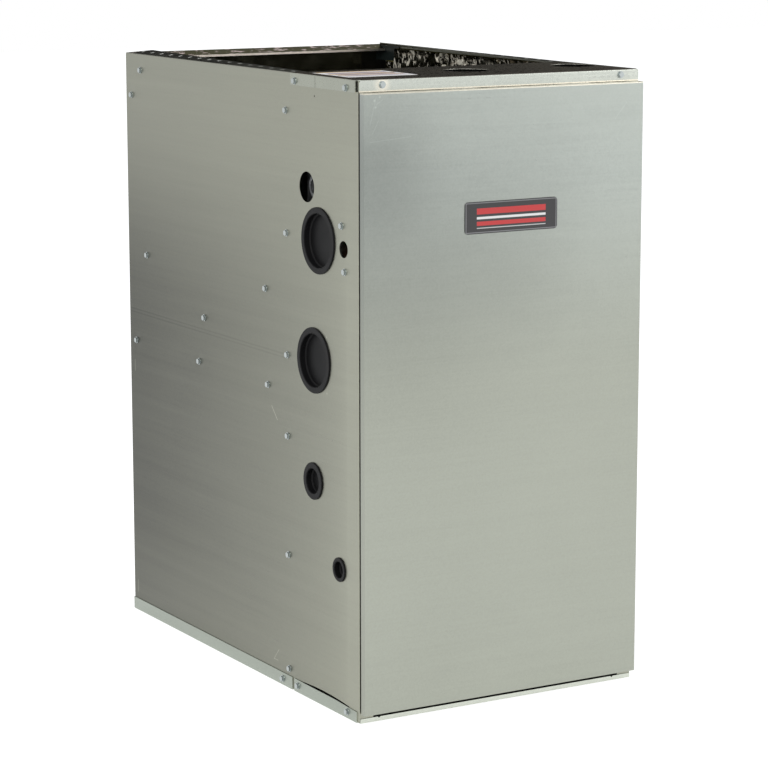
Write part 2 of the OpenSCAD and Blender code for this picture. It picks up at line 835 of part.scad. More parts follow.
// The burner box and its raised wing, which reaches forward under the air intake: flat panels with
// hairline seams between them
module burner_box() {
    seam = 0.05;
    t = box_wall;
    wing_x = [box_x - 20, half_w - 4.5];
    wing_z0 = 692;
    back = bay_d - sheet;
    inside = box_front + t + seam;
    wing_inside = bay_front + t + seam;
    walls_z = [box_z0 + t + seam, box_z1 - t - seam];
    low_z = [walls_z[0], wing_z0 - seam];
    wing_z = [wing_z0 + t + seam, walls_z[1]];
    roof_z = [box_z1 - t, box_z1];
    wing_floor_z = [wing_z0, wing_z0 + t];
    panels = [
        // Roofs and floors
        [[-box_x, wing_x[0] - seam], [box_front, back], roof_z],
        [wing_x, [bay_front, back], roof_z],
        [[-box_x, box_x], [box_front, back], [box_z0, box_z0 + t]],
        [wing_x, [bay_front, box_front], wing_floor_z],
        [[box_x - t, wing_x[1]], [box_front + seam, back], wing_floor_z],
        // Fronts
        [[-box_x, wing_x[0] - seam], [box_front, box_front + t], walls_z],
        [[wing_x[0], box_x], [box_front, box_front + t], low_z],
        [wing_x, [bay_front, bay_front + t], wing_z],
        // Sides
        [[-box_x, -box_x + t], [inside, back], walls_z],
        [[box_x - t, box_x], [inside, back], low_z],
        [[wing_x[0], wing_x[0] + t], [wing_inside, box_front], wing_z],
        [[wing_x[1] - t, wing_x[1]], [wing_inside, back], wing_z]
    ];
    color([0.50, 0.51, 0.50]) difference() {
        for (p = panels) bay_block(p[0], p[1], p[2]);
        rod_x([-box_x - e, -box_x + box_wall + e], yf(manifold_at), fire_z, manifold_r + 0.3);
        rod_z(intake_at[0], intake_at[1], [box_z1 - box_wall - e, box_z1 + e], socket_r + 0.2);
        rod_y(window_x, [box_front - e, box_front + box_wall + e], fire_z, window_r);
    }
}

module sight_glass() {
    glass_t = 3;
    lap = 3;
    color([0.55, 0.60, 0.62])
        rod_y(window_x, [box_front - glass_t, box_front], fire_z, window_r + lap);
}

// Burner tubes with flared ends, joined by two crossover bars that stand on a pair of feet
module burners() {
    start = spud_end + 2;
    length = 30;
    lip = 2;
    throat = [9, 16];
    flare_r = 13;
    throat_r = 9.5;
    mouth_r = 14;
    wall = 1.5;
    bar_behind = [193, 197];
    bar_gap = 13.2;
    bar_rise = 6.8;
    bar_drop = 4.8;
    foot_out = 6;
    foot_half = 5;
    bar_x = [fire_x[0], fire_x[cells - 1]];
    color([0.52, 0.50, 0.46]) union() {
        for (x = fire_x)
            translate([x, yf(start), fire_z]) rotate([-90, 0, 0]) rotate_extrude() polygon([
                [flare_r - lip, 0], [flare_r, 0], [throat_r, throat[0]], [throat_r, throat[1]],
                [mouth_r, length - lip], [mouth_r, length], [mouth_r - wall, length],
                [mouth_r - wall, length - lip], [throat_r - wall, throat[1]], [throat_r - wall, throat[0]]
            ]);
        bay_block(bar_x, bar_behind, [fire_z + bar_gap, fire_z + bar_gap + bar_rise]);
        bay_block(bar_x, bar_behind, [fire_z - bar_gap - bar_drop, fire_z - bar_gap]);
        for (x = bar_x + [-foot_out, foot_out])
            bay_block([x - foot_half, x + foot_half], bar_behind, [box_z0 + box_wall, fire_z - bar_gap]);
    }
}

module gas_manifold() {
    spud_r = 6;
    jet_r = 1.1;
    past = 18;
    end_wall = 4;
    far = fire_x[cells - 1] + past;
    color([0.16, 0.16, 0.17]) difference() {
        union() {
            rod_x([valve_x[1], far], yf(manifold_at), fire_z, manifold_r);
            for (x = fire_x) rod_y(x, [manifold_at, spud_end], fire_z, spud_r);
        }
        rod_x([valve_x[1] - e, far - end_wall], yf(manifold_at), fire_z, manifold_r - manifold_wall);
        for (x = fire_x) rod_y(x, [manifold_at, spud_end + e], fire_z, jet_r);
    }
}

// A valve body with an inlet boss in line with the side opening, a solenoid on top and a terminal block
module gas_valve() {
    inlet_r = 10.5;
    inlet_d = 20;
    boss_r = 15;
    boss_x = -211;
    solenoid_at = [-160, 138];
    solenoid_r = 17;
    solenoid_h = 26;
    outlet_d = 14;
    stem_hole_d = 12;
    color([0.66, 0.67, 0.68]) difference() {
        union() {
            bay_block(valve_x, valve_behind, valve_z);
            rod_x([boss_x, valve_x[0] + e], yf(gas_at[0]), gas_at[1], boss_r);
            rod_z(solenoid_at[0], solenoid_at[1], [valve_z[1] - e, valve_z[1] + solenoid_h], solenoid_r);
            bay_block([-166, -142], [100, valve_behind[0] + e], [690, 735]);
        }
        rod_x([boss_x - e, boss_x + inlet_d], yf(gas_at[0]), gas_at[1], inlet_r);
        rod_x([valve_x[1] - outlet_d, valve_x[1] + e], yf(manifold_at), fire_z,
            manifold_r - manifold_wall);
        rod_y(knob_at[0], [valve_behind[0] - e, valve_behind[0] + stem_hole_d], knob_at[1],
            knob_stem_r + running);
    }
}

module gas_valve_knob() {
    knob_r = 13;
    knob_d = 11;
    grip = [6, 24];
    grip_d = 5;
    stem_d = 11;
    front = valve_behind[0] - 0.5;
    face = front - knob_d;
    color([0.75, 0.12, 0.10]) {
        rod_y(knob_at[0], [face, front], knob_at[1], knob_r);
        bay_block(around(knob_at[0], grip[0]), [face - grip_d, face + e],
            around(knob_at[1], grip[1]));
        rod_y(knob_at[0], [front - e, front + stem_d], knob_at[1], knob_stem_r);
    }
}

// An electrode on a bracket that stands on the floor of the burner box
module electrode(x, rod_r) {
    half = 9;
    holder = [168, 180];
    bracket_t = 2;
    rod_end = 198;
    z = [678, 690];
    bay_block([x - half, x + half], holder, z);
    rod_y(x, [holder[1] - e, rod_end], (z[0] + z[1]) / 2, rod_r);
    bay_block([x - half, x + half], [holder[0], holder[0] + bracket_t], [box_z0 + box_wall, z[1]]);
}

module igniter() {
    color([0.85, 0.84, 0.80]) electrode(fire_x[0] + electrode_gap, 2.4);
}

module flame_sensor() {
    color([0.82, 0.80, 0.76]) electrode(fire_x[cells - 1] - electrode_gap, 1.2);
}

// ---- Heat exchanger ----

// Three straight passes joined by two bends, as a solid of radius r; longer by extra at each end
module serpentine(x, r, extra) {
    bend = pass_step / 2;
    low = fire_z - pass_step;
    lowest = low - pass_step;
    rod_y(x, [bay_d - extra, rear_bend_at], fire_z, r);
    rod_y(x, [front_bend_at, rear_bend_at], low, r);
    rod_y(x, [front_bend_at, header_front + extra], lowest, r);
    translate([x, yf(rear_bend_at), fire_z - bend]) rotate([0, 90, 0])
        rotate_extrude(angle = 180) translate([bend, 0]) circle(r);
    translate([x, yf(front_bend_at), low - bend]) rotate([0, 90, 0]) rotate([0, 0, 180])
        rotate_extrude(angle = 180) translate([bend, 0]) circle(r);
}

module primary_tubes() {
    color([0.62, 0.58, 0.52]) for (x = fire_x) difference() {
        serpentine(x, tube_r, 0);
        serpentine(x, tube_r - tube_wall, e);
    }
}

module at_coil_tubes() {
    lowest = coil_z0 + 20;
    for (i = [0:coil_columns - 1], k = [0:coil_rows - 1])
        translate([(i - (coil_columns - 1) / 2) * coil_step[0], 0, lowest + k * coil_step[1]]) children();
}

module rear_header() {
    half = 152;
    z = [coil_z0 - 5, 614];
    wall = tube_wall;
    color([0.60, 0.60, 0.58]) difference() {
        bay_block([-half, half], [header_front, header_front + header_d], z);
        bay_block([-half + wall, half - wall], [header_front + wall, header_front + header_d - wall],
            z + [wall, -wall]);
        for (x = fire_x)
            rod_y(x, [header_front - e, header_front + wall + e], fire_z - 2 * pass_step, tube_r - tube_wall);
        at_coil_tubes()
            rod_y(0, [header_front - e, header_front + wall + e], 0, coil_tube_r - coil_tube_wall);
    }
}

// A front plate, the tubes that run to the rear header, and thin fins across them
module secondary_coil() {
    plate_t = 2;
    plate_lap = [5, 8, 3];
    fin_t = 0.5;
    bare_end = 20;
    start = bay_d + plate_t;
    half = coil_w / 2;
    step = (header_front - start - bare_end) / fin_count;
    color([0.74, 0.75, 0.76]) difference() {
        union() {
            bay_block([-half - plate_lap[0], half + plate_lap[0]], [bay_d, start],
                [coil_z0 - plate_lap[1], coil_z1 + plate_lap[2]]);
            at_coil_tubes() rod_y(0, [bay_d, header_front], 0, coil_tube_r);
            for (i = [1:fin_count])
                bay_block([-half, half], [start + i * step, start + i * step + fin_t], [coil_z0, coil_z1]);
        }
        at_coil_tubes() rod_y(0, [bay_d - e, header_front + e], 0, coil_tube_r - coil_tube_wall);
    }
}

// A moulded box with a drain spout below and a pressure port in front
module collector_box() {
    half = 172;
    z = [446, 592];
    wall = 3;
    back = bay_d - sheet;
    spout_r = [5.5, 8];
    port_r = [1.8, 3.5];
    port_at = [120, 560];
    stub = 10;
    color([0.13, 0.13, 0.14]) difference() {
        union() {
            bay_block([-half, half], [collector_front, back], z);
            rod_z(drain_spout[0], drain_spout[1], [z[0] - stub, z[0] + e], spout_r[1]);
            rod_y(port_at[0], [collector_front - stub, collector_front + e], port_at[1], port_r[1]);
        }
        bay_block([-half + wall, half - wall], [collector_front + wall, back + e], z + [wall, -wall]);
        rod_y(inducer_at[0], [collector_front - e, collector_front + wall + e], inducer_at[1],
            inducer_inlet_r);
        rod_z(drain_spout[0], drain_spout[1], [z[0] - stub - e, z[0] + wall + e], spout_r[0]);
        rod_y(port_at[0], [collector_front - stub - e, collector_front + wall + e], port_at[1], port_r[0]);
    }
}

// ---- Inducer and pipes ----

// A round scroll with an inlet behind, and a duct that leads up from its right side to a round neck
module inducer_housing() {
    wall = 4;
    cut_front = inducer_front + wall;
    cut_back = inducer_back - wall;
    x = inducer_at[0];
    z = inducer_at[1];
    inlet_wall = 5;
    duct_x = [vent_at[0] - 28, vent_at[0] + 23];
    duct_cut_x = [vent_at[0] - 20, duct_x[1] - wall];
    duct_top = 600;
    neck_top = 632;
    color([0.15, 0.15, 0.16]) difference() {
        union() {
            rod_y(x, [inducer_front, inducer_back], z, scroll_r);
            bay_block(duct_x, [inducer_front, inducer_back], [z, duct_top]);
            rod_z(vent_at[0], vent_at[1], [duct_top - e, neck_top], inducer_neck_r);
            rod_y(x, [inducer_back - e, collector_front], z, inducer_inlet_r + inlet_wall);
        }
        rod_y(x, [cut_front, cut_back], z, scroll_r - wall);
        bay_block(duct_cut_x, [cut_front, cut_back], [z, duct_top - wall]);
        rod_z(vent_at[0], vent_at[1], [duct_top - wall - e, neck_top + e], inducer_neck_r - wall);
        rod_y(x, [cut_back - e, collector_front + e], z, inducer_inlet_r);
        rod_y(x, [inducer_front - e, cut_front + e], z, inducer_shaft_r + running);
    }
}

// A backplate with straight vanes on a hub, and its shaft
module inducer_wheel() {
    disc_front = 84;
    disc_t = 2;
    vane_count = 12;
    vane_d = 22;
    vane_t = 1.5;
    hub_r = 9;
    eye_r = 24;
    shaft_d = 40;
    color([0.35, 0.36, 0.38]) translate([inducer_at[0], yf(disc_front), inducer_at[1]])
        rotate([-90, 0, 0]) {
            cylinder(r = inducer_wheel_r, h = disc_t);
            cylinder(r = hub_r, h = vane_d);
            for (i = [0:vane_count - 1]) rotate([0, 0, 360 * i / vane_count])
                translate([eye_r, -vane_t / 2, disc_t / 2])
                    cube([inducer_wheel_r - eye_r - vane_t / 3, vane_t, vane_d]);
            translate([0, 0, -shaft_d]) cylinder(r = inducer_shaft_r, h = shaft_d + e);
        }
}

// A stepped can on three posts, with a bore for the wheel's shaft
module inducer_motor() {
    front = 16;
    back = 68;
    can_r = 42;
    step = 6;
    posts_at = 34;
    post_r = 4.5;
    bore_start = 40;
    x = inducer_at[0];
    z = inducer_at[1];
    color([0.20, 0.21, 0.22]) difference() {
        union() {
            rod_y(x, [front + step, back], z, can_r);
            rod_y(x, [front, front + step + e], z, can_r - step);
            for (a = [90:120:330])
                rod_y(x + posts_at * cos(a), [back - e, inducer_front], z + posts_at * sin(a), post_r);
        }
        rod_y(x, [bore_start, back + e], z, inducer_shaft_r + running);
    }
}

// A pipe that stands in the cabinet, with a socket for the pipe that enters through the top cap
module riser(place, foot_z, bore_r) {
    mouth = cab_h - socket_drop;
    seat = mouth - socket_d;
    collar_r = socket_r + 3.8;
    difference() {
        union() {
            rod_z(place[0], place[1], [foot_z, seat], socket_r - 0.05);
            rod_z(place[0], place[1], [seat - 8, mouth], collar_r);
        }
        rod_z(place[0], place[1], [foot_z - e, seat + e], bore_r);
        rod_z(place[0], place[1], [seat, mouth + e], socket_r);
    }
}

module vent_pipe() {
    foot_z = 604;
    color([0.88, 0.88, 0.85]) riser(vent_at, foot_z, inducer_neck_r + 0.15);
}

module intake_pipe() {
    foot_z = box_z1 - 8;
    pipe_wall = 4;
    color([0.88, 0.88, 0.85]) riser(intake_at, foot_z, socket_r - pipe_wall);
}

// A round diaphragm case with a hose nipple, on a folded bracket
module pressure_switch() {
    x = 165;
    z = 623;
    case_r = 27;
    case_behind = [164, 186];
    cover_r = 18;
    cover_front = 158;
    nipple_off = 8;
    nipple_r = 3.5;
    nipple_front = 148;
    half = 20;
    shelf_z = [z - 22, z - 20];
    foot_z = [z - 26, z - 8];
    foot_t = 1.5;
    back = bay_d - sheet;
    color([0.78, 0.79, 0.78]) union() {
        rod_y(x, case_behind, z, case_r);
        rod_y(x, [cover_front, case_behind[0] + e], z, cover_r);
        rod_y(x - nipple_off, [nipple_front, cover_front + e], z - nipple_off, nipple_r);
        bay_block([x - half, x + half], [case_behind[1] - e, back], shelf_z);
        bay_block([x - half, x + half], [back - foot_t, back], foot_z);
    }
}

module pressure_hose() {
    color([0.12, 0.12, 0.13]) flexible(pressure_route, 4.5);
}

// A moulded block with two spouts on top and an outlet in line with the side's drain opening
module condensate_trap() {
    x = [-205, -135];
    behind = [95, 155];
    z = [296, 384];
    outlet_x = -211;
    outlet_r = [7, 9.5];
    outlet_d = 20;
    spouts_x = [-150, -185];
    spout_floor = [20, 30];
    spout_behind = 125;
    spout_r = [5.5, 8];
    spout_h = 12;
    color([0.20, 0.20, 0.21]) difference() {
        union() {
            bay_block(x, behind, z);
            for (spout_x = spouts_x)
                rod_z(spout_x, spout_behind, [z[1] - e, z[1] + spout_h], spout_r[1]);
            rod_x([outlet_x, x[0] + e], yf(drain_at[0]), drain_at[1], outlet_r[1]);
        }
        for (i = [0, 1])
            rod_z(spouts_x[i], spout_behind, [z[0] + spout_floor[i], z[1] + spout_h + e], spout_r[0]);
        rod_x([outlet_x - e, x[0] + outlet_d], yf(drain_at[0]), drain_at[1], outlet_r[0]);
    }
}

module drain_hose() {
    color([0.14, 0.14, 0.15]) flexible(drain_route, 9);
}

// A round thermal switch on a plate, with two terminal tabs
module limit_switch() {
    x = -60;
    z = 806;
    plate = [44, 28];
    plate_t = 1.5;
    can_r = 10;
    can_d = 14;
    tab = [2, 6];
    tab_d = 8;
    tab_off = 5;
    back = bay_d - sheet;
    color([0.70, 0.70, 0.68]) union() {
        bay_block(around(x, plate[0]), [back - plate_t, back], around(z, plate[1]));
        rod_y(x, [back - can_d, back - e], z, can_r);
        for (tab_x = [x - tab_off, x + tab_off])
            bay_block(around(tab_x, tab[0]), [back - can_d - tab_d, back - can_d + e],
                around(z, tab[1]));
    }
}

module rollout_switch() {
    x = rollout_at[0];
    z = rollout_at[1];
    plate = [32, 18];
    plate_t = 1.5;
    can_r = 8.5;
    bottom = 4;
    color([0.12, 0.12, 0.12]) difference() {
        union() {
            bay_block(around(x, plate[0]), [box_front - plate_t, box_front],
                around(z, plate[1]));
            rod_y(x, [box_front - rollout_d, box_front - e], z, can_r);
        }
        rod_y(x, [box_front - rollout_d - e, box_front - bottom], z, button_r + running);
    }
}

module rollout_reset_button() {
    proud = 1;
    back = box_front - 4.2;
    color([0.80, 0.10, 0.08])
        rod_y(rollout_at[0], [box_front - rollout_d - proud, back], rollout_at[1], button_r);
}

// ---- Electrical parts ----

module control_tray() {
    front = tray_back - 24;
    inset = [sheet, -sheet];
    color([0.64, 0.65, 0.62]) difference() {
        bay_block(tray_x, [front, tray_back], tray_z);
        bay_block(tray_x + inset, [front - e, tray_back - sheet], tray_z + inset);
    }
}

module control_board() {
    margin = [8, -8];
    post_inset = [14, -14];
    post_r = 3.5;
    back = board_front + board_t;
    color([0.10, 0.33, 0.18]) union() {
        bay_block(tray_x + margin, [board_front, back], tray_z + margin);
        for (x = tray_x + post_inset, z = tray_z + post_inset)
            rod_y(x, [back - 0.2, tray_back - sheet], z, post_r);
    }
}

// Relays, connectors, terminals and small cans on the board
module board_components() {
    relays = [[34, 366], [64, 366], [94, 366], [34, 330]];
    connectors = [[128, 360], [150, 322], [60, 228], [110, 228], [44, 268], [92, 268]];
    cans = [[70, 326], [96, 318], [150, 280]];
    chips = [[70, 294], [112, 292]];
    can_r = 6.5;
    can_d = 16;
    color([0.13, 0.13, 0.15]) {
        for (p = relays) on_board(p, [22, 28], 20);
        for (p = connectors) on_board(p, [32, 12], 12);
        for (p = chips) on_board(p, [24, 12], 3);
        for (p = cans) rod_y(p[0], [board_front - can_d, board_front], p[1], can_r);
    }
}

// A block of the given width, height and depth that stands on the board's face
module on_board(place, size, depth) {
    half = size / 2;
    bay_block([place[0] - half[0], place[0] + half[0]], [board_front - depth, board_front],
        [place[1] - half[1], place[1] + half[1]]);
}

// A laminated core round a winding, on two feet
module transformer() {
    x = [-96, -36];
    z = [318, 372];
    core = [176, 196];
    winding_x = [-84, -48];
    winding_behind = [164, 201];
    winding_inset = [8, -8];
    foot_out = [-8, 8];
    foot_inset = [14, -14];
    back = bay_d - 2 * sheet;
    color([0.30, 0.31, 0.33]) union() {
        bay_block(x, core, z);
        bay_block(winding_x, winding_behind, z + winding_inset);
        bay_block(x + foot_out, [core[1] - e, back], z + foot_inset);
    }
}

// A closed box on the side panel, with the power opening in its side and a wire hole in its floor
module junction_box() {
    x = [-inner_w, -inner_w + 50];
    behind = [8, 62];
    z = [598, 682];
    wall = 1;
    inset = [wall, -wall];
    floor_hole_at = [x[1] - 14, 48];
    floor_hole_r = 9;
    color([0.66, 0.67, 0.64]) difference() {
        bay_block(x, behind, z);
        bay_block(x + inset, behind + inset, z + inset);
        rod_x([x[0] - e, x[0] + wall + e], yf(power_at[0]), power_at[1], power_hole_r);
        rod_z(floor_hole_at[0], floor_hole_at[1], [z[0] - e, z[0] + wall + e], floor_hole_r);
        on_left(box_screws) translate([0, 0, -sheet - wall - e])
            cylinder(r = pilot_r, h = sheet + wall + 2 * e, $fn = 24);
    }
}

module ground_wire() {
    color([0.10, 0.45, 0.20]) flexible(ground_route, 1.7, 8);
}

// Twist-on connectors over the ends of the supply leads
module wire_nuts() {
    places = [[-194, 44, 628], [-186, 56, 640]];
    color([0.85, 0.35, 0.10]) for (p = places)
        translate([p[0], yf(p[1]), p[2]]) rotate([90, 0, 20]) cylinder(r1 = 7, r2 = 4.5, h = 20);
}

module wiring_harness() {
    lead_r = 2.2;
    bundle_r = 4;
    color([0.16, 0.16, 0.17]) {
        flexible(main_route, bundle_r);
        for (route = lead_routes) flexible(route, lead_r);
    }
}

// A switch body behind the door's edge, on a bracket from the right side panel
module door_switch() {
    x = switch_at[0];
    z = switch_at[1];
    half = [9, 14];
    behind = [8, 34];
    arm_behind = [30, 32];
    foot_behind = [30, 46];
    foot_t = 1.5;
    bore_end = 26;
    span = [z - half[1], z + half[1]];
    color([0.12, 0.12, 0.13]) difference() {
        union() {
            bay_block([x - half[0], x + half[0]], behind, span);
            bay_block([x + half[0] - e, inner_w], arm_behind, span);
            bay_block([inner_w - foot_t, inner_w], foot_behind, span);
        }
        rod_y(x, [behind[0] - e, bore_end], z, plunger_r + running);
    }
}

module door_switch_plunger() {
    tip = -door_proud + sheet + door_lining + 0.1;
    back = 20;
    color([0.85, 0.20, 0.15]) rod_y(switch_at[0], [tip, back], switch_at[1], plunger_r);
}

// ---- Blower ----

// Outline of the blower's scroll seen from the side, grown by t: depth along X, height along Y
module scroll_outline(t) {
    steps = 30;
    top = deck_z - sheet - blower_z;
    mouth = cos(scroll_start) * scroll_in;
    spiral = [for (i = [0:steps])
        let (a = 360 - scroll_sweep * i / steps, r = scroll_out - (scroll_out - scroll_in) * i / steps + t)
        r * [cos(a), sin(a)]];
    polygon(concat([[scroll_out + t, top]], spiral, [[mouth - t, top]]));
}

// Turns a side view into the cabinet's frame, centred on the blower shaft
module at_blower() {
    translate([0, blower_y, blower_z]) rotate([90, 0, 90]) children();
}

module blower_housing() {
    half = housing_half + housing_t;
    lip = 7;
    color([0.60, 0.61, 0.58]) difference() {
        at_blower() translate([0, 0, -half]) linear_extrude(2 * half) scroll_outline(housing_t);
        at_blower() translate([0, 0, -housing_half]) linear_extrude(2 * housing_half)
            union() {
                scroll_outline(0);
                translate([cos(scroll_start) * scroll_in, deck_z - sheet - blower_z - e])
                    square([scroll_out - cos(scroll_start) * scroll_in, 2 * e]);
            }
        at_blower() translate([0, 0, -half - e]) cylinder(r = inlet_r, h = 2 * half + 2 * e);
    }
    color([0.60, 0.61, 0.58]) at_blower() for (start = [-housing_half, housing_half - lip])
        translate([0, 0, start]) difference() {
            cylinder(r = inlet_r + housing_t, h = lip);
            translate([0, 0, -e]) cylinder(r = inlet_r, h = lip + 2 * e);
        }
}

// One forward-curved blade between two radii
module blade(inner_r, outer_r) {
    blade_t = 0.9;
    steps = 4;
    lean = 9;
    line = [for (i = [0:steps])
        let (t = i / steps)
        [inner_r + (outer_r - inner_r) * t, lean * t * t]];
    front = [for (p = line) p[0] * [cos(p[1]), sin(p[1])]];
    back = [for (i = [steps:-1:0])
        let (p = line[i], shift = blade_t / p[0] * 180 / PI)
        p[0] * [cos(p[1] + shift), sin(p[1] + shift)]];
    polygon(concat(front, back));
}

module blower_wheel() {
    disc_t = 2;
    ring_w = 5;
    ring_r = wheel_r - 4;
    hub_r = 16;
    hub_d = 28;
    half = wheel_w / 2;
    color([0.50, 0.52, 0.54]) at_blower() difference() {
        union() {
            translate([0, 0, -disc_t / 2]) cylinder(r = wheel_r - 0.5, h = disc_t);
            cylinder(r = hub_r, h = hub_d);
            for (s = [-1, 1]) translate([0, 0, s > 0 ? half - ring_w : -half]) difference() {
                cylinder(r = wheel_r, h = ring_w);
                translate([0, 0, -e]) cylinder(r = ring_r, h = ring_w + 2 * e);
            }
            for (i = [0:blade_count - 1])
                rotate([0, 0, 360 * i / blade_count]) translate([0, 0, -half + 1])
                    linear_extrude(wheel_w - 2) blade(wheel_r - 20, wheel_r - 1.5);
        }
        translate([0, 0, -e - disc_t]) cylinder(r = shaft_r, h = hub_d + disc_t + 2 * e);
    }
}

module blower_shaft() {
    color([0.70, 0.71, 0.72]) rod_x([-62, 30], blower_y, blower_z, shaft_r);
}

// A motor with a vented bell at each end, and an air space inside each bell
module blower_motor() {
    near = -22;
    far = -152;
    bell = 12;
    bell_d = 14;
    bore_end = -64;
    bell_wall = 4;
    space_r = [24, 56];
    space_d = 42;
    vents = 8;
    vent_r = 10;
    vents_at = 40;
    color([0.22, 0.23, 0.25]) difference() {
        at_blower() rotate_extrude() polygon([
            [0, far], [motor_r - bell, far], [motor_r, far + bell_d],
            [motor_r, near - bell_d], [motor_r - bell, near], [0, near]
        ]);
        rod_x([bore_end, near + e], blower_y, blower_z, shaft_r + running);
        at_blower() for (start = [far + bell_wall, near - bell_wall - space_d])
            translate([0, 0, start]) difference() {
                cylinder(r = space_r[1], h = space_d);
                translate([0, 0, -e]) cylinder(r = space_r[0], h = space_d + 2 * e);
            }
        at_blower() for (start = [far - e, near - bell_wall - e], i = [0:vents - 1])
            rotate([0, 0, 360 * i / vents]) translate([vents_at, 0, start])
                cylinder(r = vent_r, h = bell_wall + 2 * e);
    }
}

// A band round the motor with three arms to the blower housing
module motor_bracket() {
    band_t = 2;
    band = [-142, -120];
    arm_w = 22;
    arm_r = 132;
    arm_t = 3;
    foot = 16;
    face = -housing_half - housing_t;
    color([0.62, 0.63, 0.62]) at_blower() difference() {
        union() {
            translate([0, 0, band[0]]) cylinder(r = motor_r + band_t, h = band[1] - band[0]);
            for (a = [90:120:330]) rotate([0, 0, a]) {
                translate([motor_r, -arm_w / 2, band[0]]) cube([arm_r - motor_r, arm_w, arm_t]);
                translate([arm_r - arm_t, -arm_w / 2, band[0]]) cube([arm_t, arm_w, face - band[0]]);
                translate([arm_r - foot, -arm_w / 2, face - arm_t]) cube([foot, arm_w, arm_t]);
            }
        }
        translate([0, 0, band[0] - e]) cylinder(r = motor_r, h = band[1] - band[0] + 2 * e);
    }
}

// An upright can on a strap from the blower housing, with two terminal tabs
module run_capacitor() {
    can_r = 20;
    stand_off = 3;
    side_x = -housing_half - housing_t;
    x = side_x - can_r - stand_off;
    behind = 372;
    z = [345, 415];
    strap_half = 8;
    strap_z = [370, 390];
    tab_off = 7;
    tab = [2, 6];
    tab_h = 8;
    color([0.78, 0.79, 0.80]) union() {
        rod_z(x, behind, z, can_r);
        bay_block([x, side_x], [behind - strap_half, behind + strap_half], strap_z);
        for (tab_x = [x - tab_off, x + tab_off])
            bay_block(around(tab_x, tab[0]), around(behind, tab[1]),
                [z[1] - e, z[1] + tab_h]);
    }
}

// ---- One line for each sub-part ----

left_side_panel();
right_side_panel();
back_panel();
top_cap();
corner_brackets();
front_base_pan();
rear_base_rails();
return_flange();
front_door();
door_badge();
door_lining_pad();
door_clips();
vestibule_panel();
divider_frame();
blower_access_panel();
blower_deck();
cabinet_insulation();
rating_label();
hole_plugs();
cabinet_screws();
burner_box();
sight_glass();
burners();
gas_manifold();
gas_valve();
gas_valve_knob();
igniter();
flame_sensor();
primary_tubes();
rear_header();
secondary_coil();
collector_box();
inducer_housing();
inducer_wheel();
inducer_motor();
pressure_switch();
pressure_hose();
vent_pipe();
intake_pipe();
condensate_trap();
drain_hose();
limit_switch();
rollout_switch();
rollout_reset_button();
control_tray();
control_board();
board_components();
transformer();
junction_box();
ground_wire();
wire_nuts();
wiring_harness();
door_switch();
door_switch_plunger();
blower_housing();
blower_wheel();
blower_shaft();
blower_motor();
motor_bracket();
run_capacitor();
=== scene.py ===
"""Looks for a forced air gas furnace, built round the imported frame. Metres; +X right, -Y front, +Z up."""
import json
import math

import bmesh
import bpy
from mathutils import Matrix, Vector, noise


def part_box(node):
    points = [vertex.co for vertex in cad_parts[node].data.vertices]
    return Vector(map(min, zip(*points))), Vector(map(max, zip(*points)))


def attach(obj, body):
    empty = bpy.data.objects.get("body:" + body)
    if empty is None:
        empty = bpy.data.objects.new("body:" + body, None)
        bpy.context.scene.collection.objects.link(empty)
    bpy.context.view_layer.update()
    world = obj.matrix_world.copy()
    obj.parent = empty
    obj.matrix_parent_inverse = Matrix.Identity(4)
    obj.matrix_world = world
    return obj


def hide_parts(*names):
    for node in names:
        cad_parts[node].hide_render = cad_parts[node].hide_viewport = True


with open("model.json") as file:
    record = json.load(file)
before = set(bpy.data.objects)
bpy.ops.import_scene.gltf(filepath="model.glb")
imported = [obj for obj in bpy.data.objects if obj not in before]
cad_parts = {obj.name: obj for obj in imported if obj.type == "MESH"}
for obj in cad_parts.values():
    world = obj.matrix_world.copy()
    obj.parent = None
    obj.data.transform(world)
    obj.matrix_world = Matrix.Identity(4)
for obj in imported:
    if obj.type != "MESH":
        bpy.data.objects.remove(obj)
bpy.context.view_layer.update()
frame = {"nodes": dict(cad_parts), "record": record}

NODES = frame["nodes"]


# ---- Places on the cabinet ----

MM = 0.001
SIDE_X = 0.22225
FRONT_Y = -0.34685


def y_at(behind):
    """Y of a place given in millimetres behind the cabinet's front edge."""
    return FRONT_Y + behind * MM


DOOR_Y = y_at(-13.7)
DOOR_TOP_Z = 0.8474
CAP_FOOT_Z = 0.848
BACK_HEM_Y = 0.33715
# Perforations of the side duct flanges: where they start, how far apart they are, and how far from the
# cabinet's middle
DOTS_START = y_at(182.5)
DOT_PITCH = 0.0315
DOTS_X = 0.20925
# Each one's pale square is full up to this half size, and ends at this one
PALE_SQUARE_FULL = 0.0022
PALE_SQUARE_END = 0.0032
# The screw at the left of the cap's front edge, with a lighter patch round it
CAP_SCREW = (-0.186, y_at(-1), 0.857)
CAP_SCREW_REACH = 0.016

# Boxes that bound a change of colour, each with its middle and half size: the space behind the vestibule
# # wall, painted in shade; the rims of the cap's pipe openings, painted dark inside as shade; and their lips
# and
# # the back's hem, which carry painted highlights
BEHIND_WALL = (0.0, 0.10875, 0.4275), (0.2218, 0.24905, 0.4275)
CAP_RIMS = (0.0, y_at(100), 0.80), (0.2205, 0.046, 0.0633)
CAP_LIPS = (0.0, y_at(100), 0.86358), (0.2205, 0.046, 0.0003)
BACK_HEM = (0.0, BACK_HEM_Y, None), (0.2215, 0.0016, None)


# ---- Camera, world and lights ----

# The photograph's camera: its place, its lens in millimetres, and how far it looks down, rolls and turns, in
# degrees
CAMERA_PLACE = (-1.9902, -3.4417, 1.1114)
CAMERA_LENS = 128.89
CAMERA_DOWN = 10.275
CAMERA_ROLL = 0.054
CAMERA_TURN = -30.29

# Rays that see a white background
SHOWN_RAYS = ("Is Camera Ray", "Is Glossy Ray", "Is Transmission Ray")
SKY_COLOUR = (0.95, 0.98, 1.0, 1)
SKY_STRENGTH = 0.55

